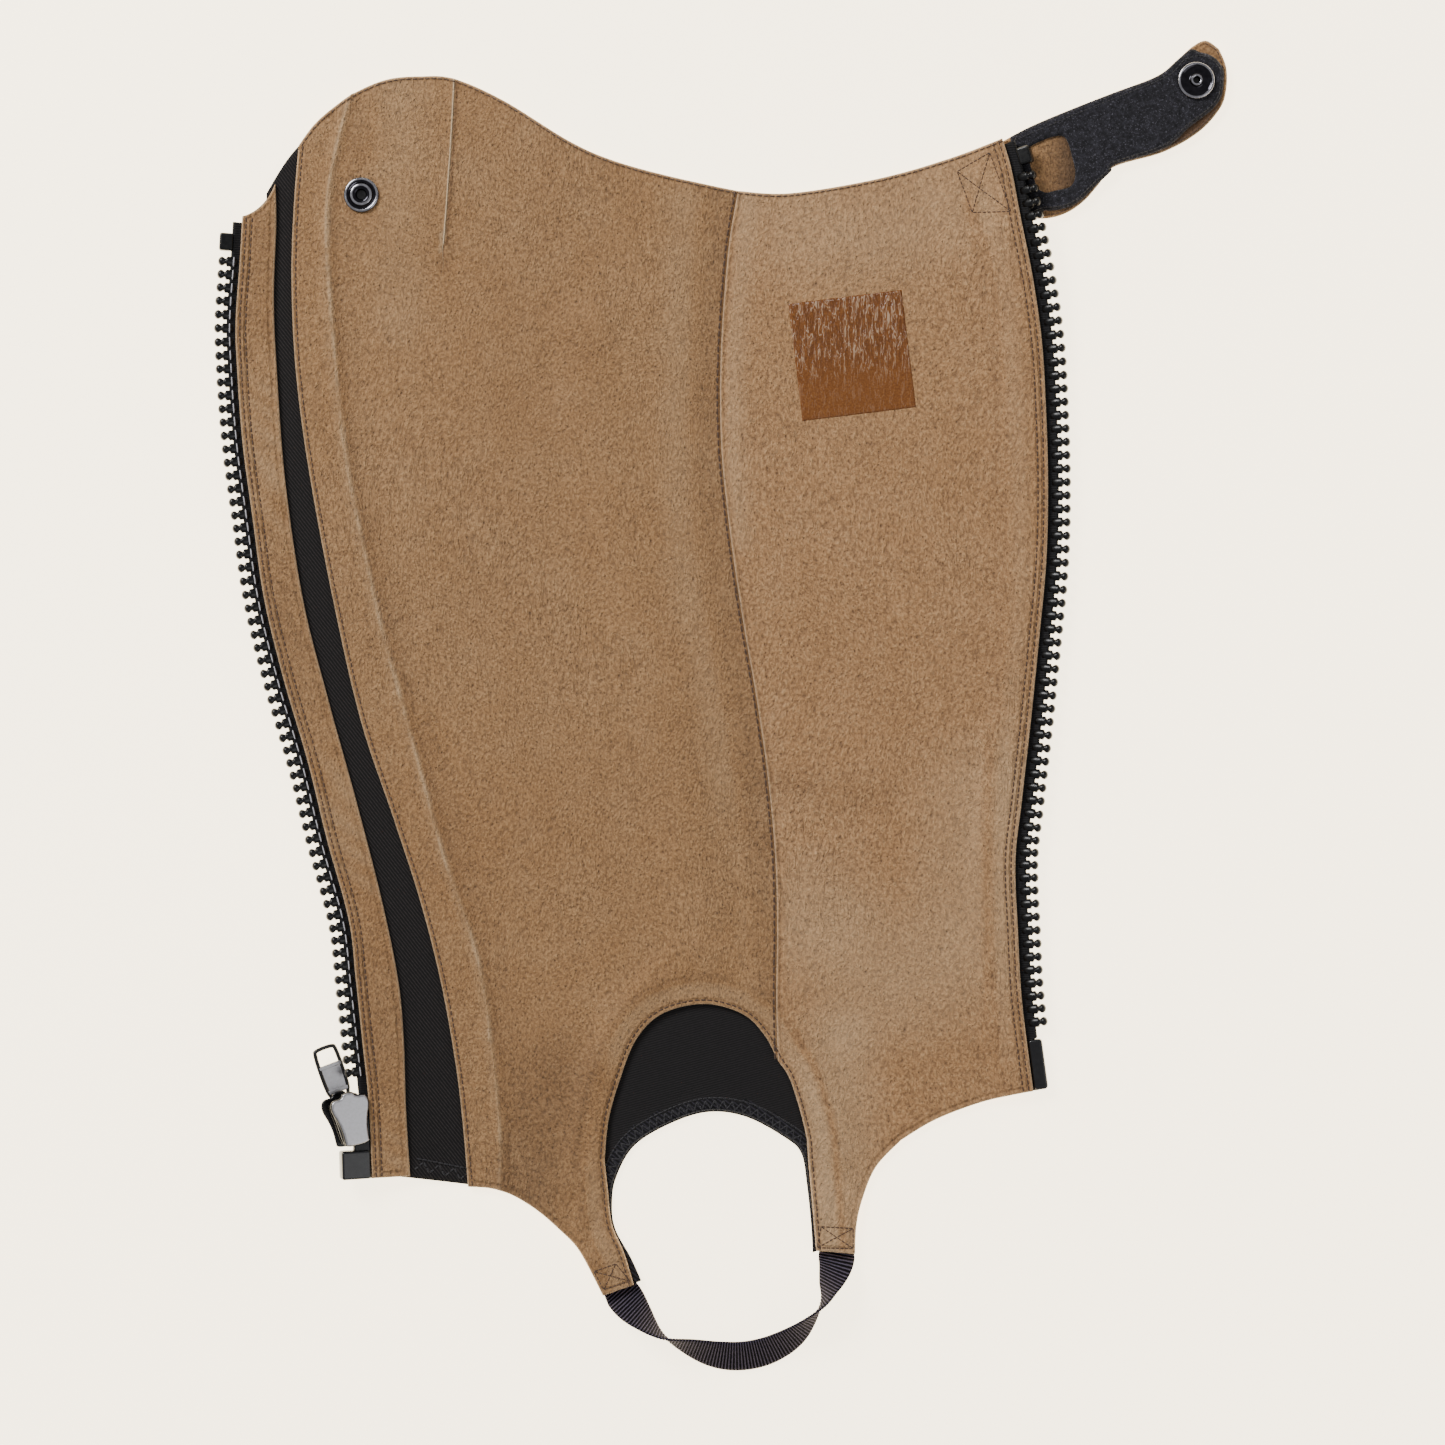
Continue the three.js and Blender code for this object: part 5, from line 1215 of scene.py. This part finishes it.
def inside(outline, x, y):
    # Whether each place lies in an outline, by counting the sides a ray to the right crosses
    x0, y0 = outline[:, 0], outline[:, 1]
    x1, y1 = np.roll(x0, -1), np.roll(y0, -1)
    spans = (y0[:, None] > y) != (y1[:, None] > y)
    slope = (x1 - x0) / np.where(abs(y1 - y0) < 1e-9, 1e-9, y1 - y0)
    crosses = x0[:, None] + (y[None] - y0[:, None]) * slope[:, None]
    return ((crosses > x) & spans).sum(axis=0) % 2 == 1


def filled(outline, window=None, spacing=1.4):
    # Triangles that fill an outline round a window, with an even lattice of points inside
    low, high = outline.min(axis=0), outline.max(axis=0)
    columns, rows = (np.arange(low[k], high[k], spacing) for k in (0, 1))
    x, y = (axis.ravel() for axis in np.meshgrid(columns, rows))
    loops = [outline] if window is None else [outline, window]
    rim = np.concatenate(loops)
    keep = inside(outline, x, y) & (distanceTo(rim, x, y) > spacing * 0.5)
    if window is not None:
        keep &= ~inside(window, x, y)
    points = np.concatenate([rim, np.c_[x, y][keep]])
    starts = np.cumsum([0] + [len(loop) for loop in loops])
    edges = [(start + k, start + (k + 1) % len(loop)) for start, loop in zip(starts, loops) for k in range(len(loop))]
    made = delaunay_2d_cdt(points.tolist(), edges, [], 0, 1e-6)
    plane, faces = np.array([tuple(p) for p in made[0]]), np.array(made[2])
    middle = plane[faces].mean(axis=1)
    keep = inside(outline, middle[:, 0], middle[:, 1])
    if window is not None:
        keep &= ~inside(window, middle[:, 0], middle[:, 1])
    return plane, faces[keep]


def tabPieces():
    mouth = np.concatenate([through(tabUpper + tabNose[:2], 300), through(tabNose[1:] + tabLower, 300)])
    outline = np.concatenate([mouth, through([tabLower[-1], tuckedEnd[1], tuckedEnd[0], tabUpper[0]], 60)[1:-1]])
    outline = resampled(np.r_[outline, outline[:1]], 261)[:-1]
    plane, faces = filled(outline)
    x, y = plane.T
    outside = x > acrossAt(curve["backEdge"], y)
    under = np.clip(leatherLow(x, y) - tab["wall"] - tab["under"], 0, tab["level"])
    low = np.where(outside, tab["level"], np.minimum(under, tab["level"]))
    edge = distanceTo(outline, x, y, 1)
    high = low + tab["wall"] - 0.7 * rounded(edge, 0.7, 0.5)
    # painted shade: the leather in the suede's window darkens nearly to black towards its right side
    shade = plateau(tab["shadeX"] - x, 4, 16) * plateau(abs(y - tab["shadeY"]), 16, 10)
    leather = wallPiece("tabLeather", plane, faces, low, high, frontLeather,
                        leatherMarks(len(x), edge=edge, polish=-0.75 * shade))
    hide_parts("tab_leather")
    planArea(plane, faces)
    # the suede's outline is drawn close to the leather's upper edge where the two nearly meet
    outline, window = closedThrough(backingOutline, 260), closedThrough(backingWindow, 90)
    upper = through(tabUpper, 400)
    gap = np.linalg.norm(outline[:, None] - upper[None], axis=2)
    pulled = (1 - 0.06) * plateau(gap.min(axis=1), 2.4, 1.6)[:, None]
    outline = resampled(outline + (upper[gap.argmin(axis=1)] - outline) * pulled, 260)
    plane, faces = filled(outline, window, 1.1)
    x, y = plane.T
    edge = distanceTo(np.concatenate([outline, window]), x, y, 1)
    nap = 0.04 * np.sin(x * 2.1 + 3 * np.sin(y * 0.9))
    low = np.full(len(plane), tab["backing"])
    high = low + tab["backingWall"] - rounded(edge, 0.8, 0.5) + nap
    backing = wallPiece("tabBacking", plane, faces, low, high, suede)
    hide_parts("tab_backing")
    planArea(plane, faces)


tabPieces()


def lathed(name, profile, centre, base, cadNode, crests):
    # A closed profile of radius and height turned round an upright axis, its crests painted brighter as highlights
    turn = np.linspace(0, 2 * np.pi, 72, endpoint=False)
    radius, height = np.array(profile, float).T
    ring = np.stack([centre[0] + np.cos(turn)[:, None] * radius, centre[1] + np.sin(turn)[:, None] * radius,
                     base + np.repeat(height[None], len(turn), 0)], axis=-1)
    rows, columns = ring.shape[:2]
    piece = makePiece(name, ring.reshape(-1, 3), looped(rows, columns), darkNickel)
    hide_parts(cadNode)
    middle = (radius + np.roll(radius, -1)) / 2
    bright = sum((middle > low) & (middle < high) for low, high in crests) * (height > 0.5)
    secondMaterial(piece, highlightNickel, np.tile(bright, rows))
    # a black disc fills the middle hole as painted shade
    core = roundedBox(2 * radius.min() + 0.1, 2 * radius.min() + 0.1, radius.min())
    points, faces = slab(core, [(0, 0.0), (0, 0.5), (0.2, 0.6)])
    makePiece(name + "ShadeCore", points + (*centre, base), faces, acetal)


socketProfile = [(1.9, 0), (6.5, 0), (6.7, 0.2), (6.7, 0.66), (6.55, 0.9), (6.3, 1.08), (6.0, 1.14), (5.7, 1.05),
                 (5.4, 0.92), (5.1, 0.86), (4.85, 0.95), (4.6, 1.2), (4.4, 1.5), (4.15, 1.78), (3.8, 1.9), (3.3, 1.88),
                 (2.7, 1.8), (2.2, 1.6), (1.95, 1.3)]
studProfile = [(1.2, 0), (6.9, 0), (7.1, 0.2), (7.1, 0.78), (6.95, 1.05), (6.7, 1.25), (6.4, 1.3), (6.1, 1.2),
               (5.6, 0.95), (5.1, 0.8), (4.4, 0.76), (3.3, 0.76), (2.6, 0.8), (2.42, 1.0), (2.4, 2.2), (2.3, 2.45),
               (2.1, 2.58), (1.8, 2.6), (1.45, 2.5), (1.2, 2.2)]
lathed("snapSocket", socketProfile, socketCentre, 3.4, "snap_socket", [(5.7, 6.5), (3.5, 4.2)])
lathed("snapStud", studProfile, studCentre, 4.3, "snap_stud", [(6.2, 6.85), (1.6, 2.2)])
for cap in ("socket_cap", "stud_cap"):
    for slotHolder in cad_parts[cap].material_slots:
        slotHolder.material = darkNickel

# Label patch: a thin wrinkled film, bare
label = {"centre": plan((0.7585, 0.7705)), "size": (44.0, 45.5), "turn": 7.0, "wall": 0.4, "sink": 0.12}


def labelPiece():
    half = np.array(label["size"]) / 2
    share = np.linspace(-1, 1, 90)
    u, v = np.meshgrid(share, share)
    c, s = math.cos(math.radians(label["turn"])), math.sin(math.radians(label["turn"]))
    x = label["centre"][0] + u * half[0] * c - v * half[1] * s
    y = label["centre"][1] + u * half[0] * s + v * half[1] * c
    plane, faces = joined([np.stack([x, y], axis=-1)])
    back = (plane - label["centre"]) @ np.array([[c, -s], [s, c]])
    edge = (half - abs(back)).min(axis=1)
    u, v = back.T
    fine = 0.05 * np.sin(u * 1.9 + 2.2 * np.sin(v * 0.8)) * np.sin(v * 1.6 + u * 0.5)
    high = leatherTop(*plane.T) + label["wall"] - label["sink"] - rounded(edge, 0.5, 0.25) + fine
    piece = wallPiece("labelPatch", plane, faces, high - label["wall"], high, film,
                      {"crinkle": 0.2 + 0.8 * plateau(-v, -4, 16)})
    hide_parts("label_patch")


labelPiece()
print("tab, stud and label made")

# Stitches: small rods with round ends, laid along rows
stitch = {"gap": 2.45, "length": 1.95, "radius": 0.27, "sink": 0.02, "sides": 6}


def stitchShape(length, radius):
    along = np.array([-0.5, -0.44, -0.3, 0.3, 0.44, 0.5]) * length
    size = np.array([0.25, 0.75, 1, 1, 0.75, 0.25]) * radius
    turn = np.linspace(0, 2 * np.pi, stitch["sides"], endpoint=False)
    grooveDepthAndShade = 0.25 * radius * (abs(along) > 0.4 * length)[:, None]
    ring = np.stack([np.cos(turn)[None] * size[:, None], np.repeat(along[:, None], len(turn), 1),
                     np.sin(turn)[None] * size[:, None] - grooveDepthAndShade], axis=-1)
    return ring.reshape(-1, 3), tube(len(along), len(turn))


def stitchPiece(name, rows, height, material, gap=None, size=1.0):
    # Rods along each row of plan points, standing on the surface given by height
    shape, faces = stitchShape(stitch["length"] * size, stitch["radius"] * size)
    origins, runs = [], []
    for row in rows:
        count = max(2, round(lengthOf(row) / ((gap or stitch["gap"]) * size)))
        at = evenly(row, (np.arange(count) + 0.5) / count)
        ahead = evenly(row, (np.arange(count) + 0.6) / count) - evenly(row, (np.arange(count) + 0.4) / count)
        origins.append(at)
        runs.append(unit(ahead))
    at, run = np.concatenate(origins), np.concatenate(runs)
    z = height(at[:, 0], at[:, 1]) + stitch["sink"]
    rise = (height(*(at + run * 0.8).T) - height(*(at - run * 0.8).T)) / 1.6
    forward = unit(np.c_[run, rise])
    right = unit(np.cross(forward, (0, 0, 1.0)))
    points, every = copies(placed((np.c_[at, z], right, forward, np.cross(right, forward)), shape), faces)
    makePiece(name, points, every, material)


def besideCurves(**away):
    # Rows at a distance from each named curve
    return [offsetLine(curve[n], amount) for n, amount in away.items()]


frontRows = besideCurves(kneeFrontShort=-1.1, kneeFrontLong=-1.1, gussetBack=1.7, frontLegInner=1.6, archFront=1.6)
stitchPiece("frontStitches", frontRows, leatherTop, thread)
backRows = besideCurves(kneeInner=-1.1, archBack=1.6, backLegInner=1.6, backEdge=-1.7) + besideCurves(backEdge=-3.9)
stitchPiece("backStitches", backRows, leatherTop, thread)
stitchPiece("seamStitches", besideCurves(seam=-1.0), leatherTop, thread, 2.4, 1.25)
stripRows = besideCurves(frontEdge=1.7) + besideCurves(frontEdge=3.9)
stitchPiece("stripStitches", stripRows, stripTop, thread)


def picture(rows):
    # Places read off the photo's frame, in pixels of 0.385 mm from its upper left corner
    rows = np.array(rows, float)
    return np.c_[rows[:, 0] - 235.5, 1294 - rows[:, 1]] * 0.385


def crossedBox(corners):
    # The four sides and two diagonals of a stitched box
    c = picture(corners)
    pairs = [(0, 1), (1, 2), (2, 3), (3, 0), (0, 2), (1, 3)]
    return [resampled(c[[a, b]], 30) for a, b in pairs]


boxes = [row for corners in (
    [(957, 172), (989, 154), (1010, 213), (972, 213)],
    [(821, 1226), (853, 1228), (853, 1248), (817, 1247)],
    [(594, 1271), (616, 1263), (630, 1280), (604, 1289)],
) for row in crossedBox(corners)]
stitchPiece("boxStitches", boxes, leatherTop, thread, 2.3, 0.8)
tabRim = [offsetLine(through(tabNose[:3], 60), -1.2), offsetLine(through(tabLower, 200), -1.1)]
stitchPiece("tabStitches", tabRim, lambda x, y: np.full(len(x), tab["level"] + tab["wall"]), thread, 2.2,
            0.8)
backingRim = offsetLine(through(backingOutline + backingOutline[:1], 400), -1.3)
stitchPiece("suedeStitches", [backingRim], lambda x, y: np.full(len(x), tab["backing"] + tab["backingWall"]),
            blackThread, 2.3, 0.8)


def zigzag(points, inner, outer, step):
    # A line that goes to and fro between two offsets of another
    count = int(lengthOf(points) / step)
    at = [offsetLine(resampled(points, count), side) for side in (inner, outer)]
    return [resampled(np.stack([at[k % 2][k], at[(k + 1) % 2][k + 1]]), 4) for k in range(count - 1)]


def clothTop(x, y):
    return lift(x, y) + strapRoom(x, y) + chap["fabric"] + chap["hem"]


gussetFoot = np.linspace(curve["stripBack"][-1] + (1, 0), curve["gussetBack"][-1] - (0.6, 0), 60)
gussetHems = zigzag(gussetFoot, 2.2, 6.0, 2.4) + [offsetLine(gussetFoot, 6.8)]
stitchPiece("gussetHemStitches", gussetHems, clothTop, blackThread, 2.2)
archRun = curve["archHem"][90:720]
archHems = zigzag(archRun, 1.3, 4.4, 1.5) + [offsetLine(archRun, 5.4), offsetLine(archRun, 0.9)]
stitchPiece("archHemStitches", archHems, clothTop, blackThread, 2.0)

# Painted highlights on the front teeth's feet: pale dashes on the tape, one beside each tooth
shape, faces = stitchShape(3.7, 0.26)
frames = movedFrame(zipFrames(frontZip, toothPlaces(frontZip), frontZip["tapeEdge"] - 1.3), 0, 0, 1.62)
points, every = copies(placed(frames, shape), faces)
makePiece("toothGlintDashes", points, every, toothGlint)
print("stitches made")

# Camera straight above, floor and light: each lamp with its place, size and power
stage = {"floor": "#f6e7ca", "glow": 4.7, "sky": "#f4f4f6", "skyGlow": 0.42}
lamps = [("key", (-1.1, 1.2, 1.35), 0.8, 42.0), ("fill", (1.3, -0.7, 1.5), 1.2, 7.0)]
paper, tree, bsdf, unused = newMaterial("seamlessPaper", Roughness=0.9, Specular_IOR_Level=0.1)
bsdf.inputs["Base Color"].default_value = linear(stage["floor"])
bsdf.inputs["Emission Color"].default_value = linear(stage["floor"])
bsdf.inputs["Emission Strength"].default_value = stage["glow"]
bpy.ops.mesh.primitive_plane_add(size=6.0, location=(0, 0, -0.0005))
floor = bpy.context.object
floor.name = "paperFloor"
floor.data.materials.append(paper)

world = bpy.data.worlds.new("studio")
world.use_nodes = True
world.node_tree.nodes["Background"].inputs[0].default_value = linear(stage["sky"])
world.node_tree.nodes["Background"].inputs[1].default_value = stage["skyGlow"]
bpy.context.scene.world = world
for name, place, size, power in lamps:
    lamp = bpy.data.objects.new(name, bpy.data.lights.new(name, "AREA"))
    lamp.data.size, lamp.data.energy = size, power
    lamp.location = place
    turn = math.atan2(place[1], place[0])
    lamp.rotation_euler = (0, math.atan2(math.hypot(*place[:2]), place[2]), turn)
    bpy.context.scene.collection.objects.link(lamp)
camera = bpy.data.objects.new("camera", bpy.data.cameras.new("camera"))
camera.data.lens, camera.data.sensor_width = 100, 36
camera.location = (shift[0] + 0.1875, shift[1] + 0.22, 1.548)
bpy.context.scene.collection.objects.link(camera)
bpy.context.scene.camera = camera
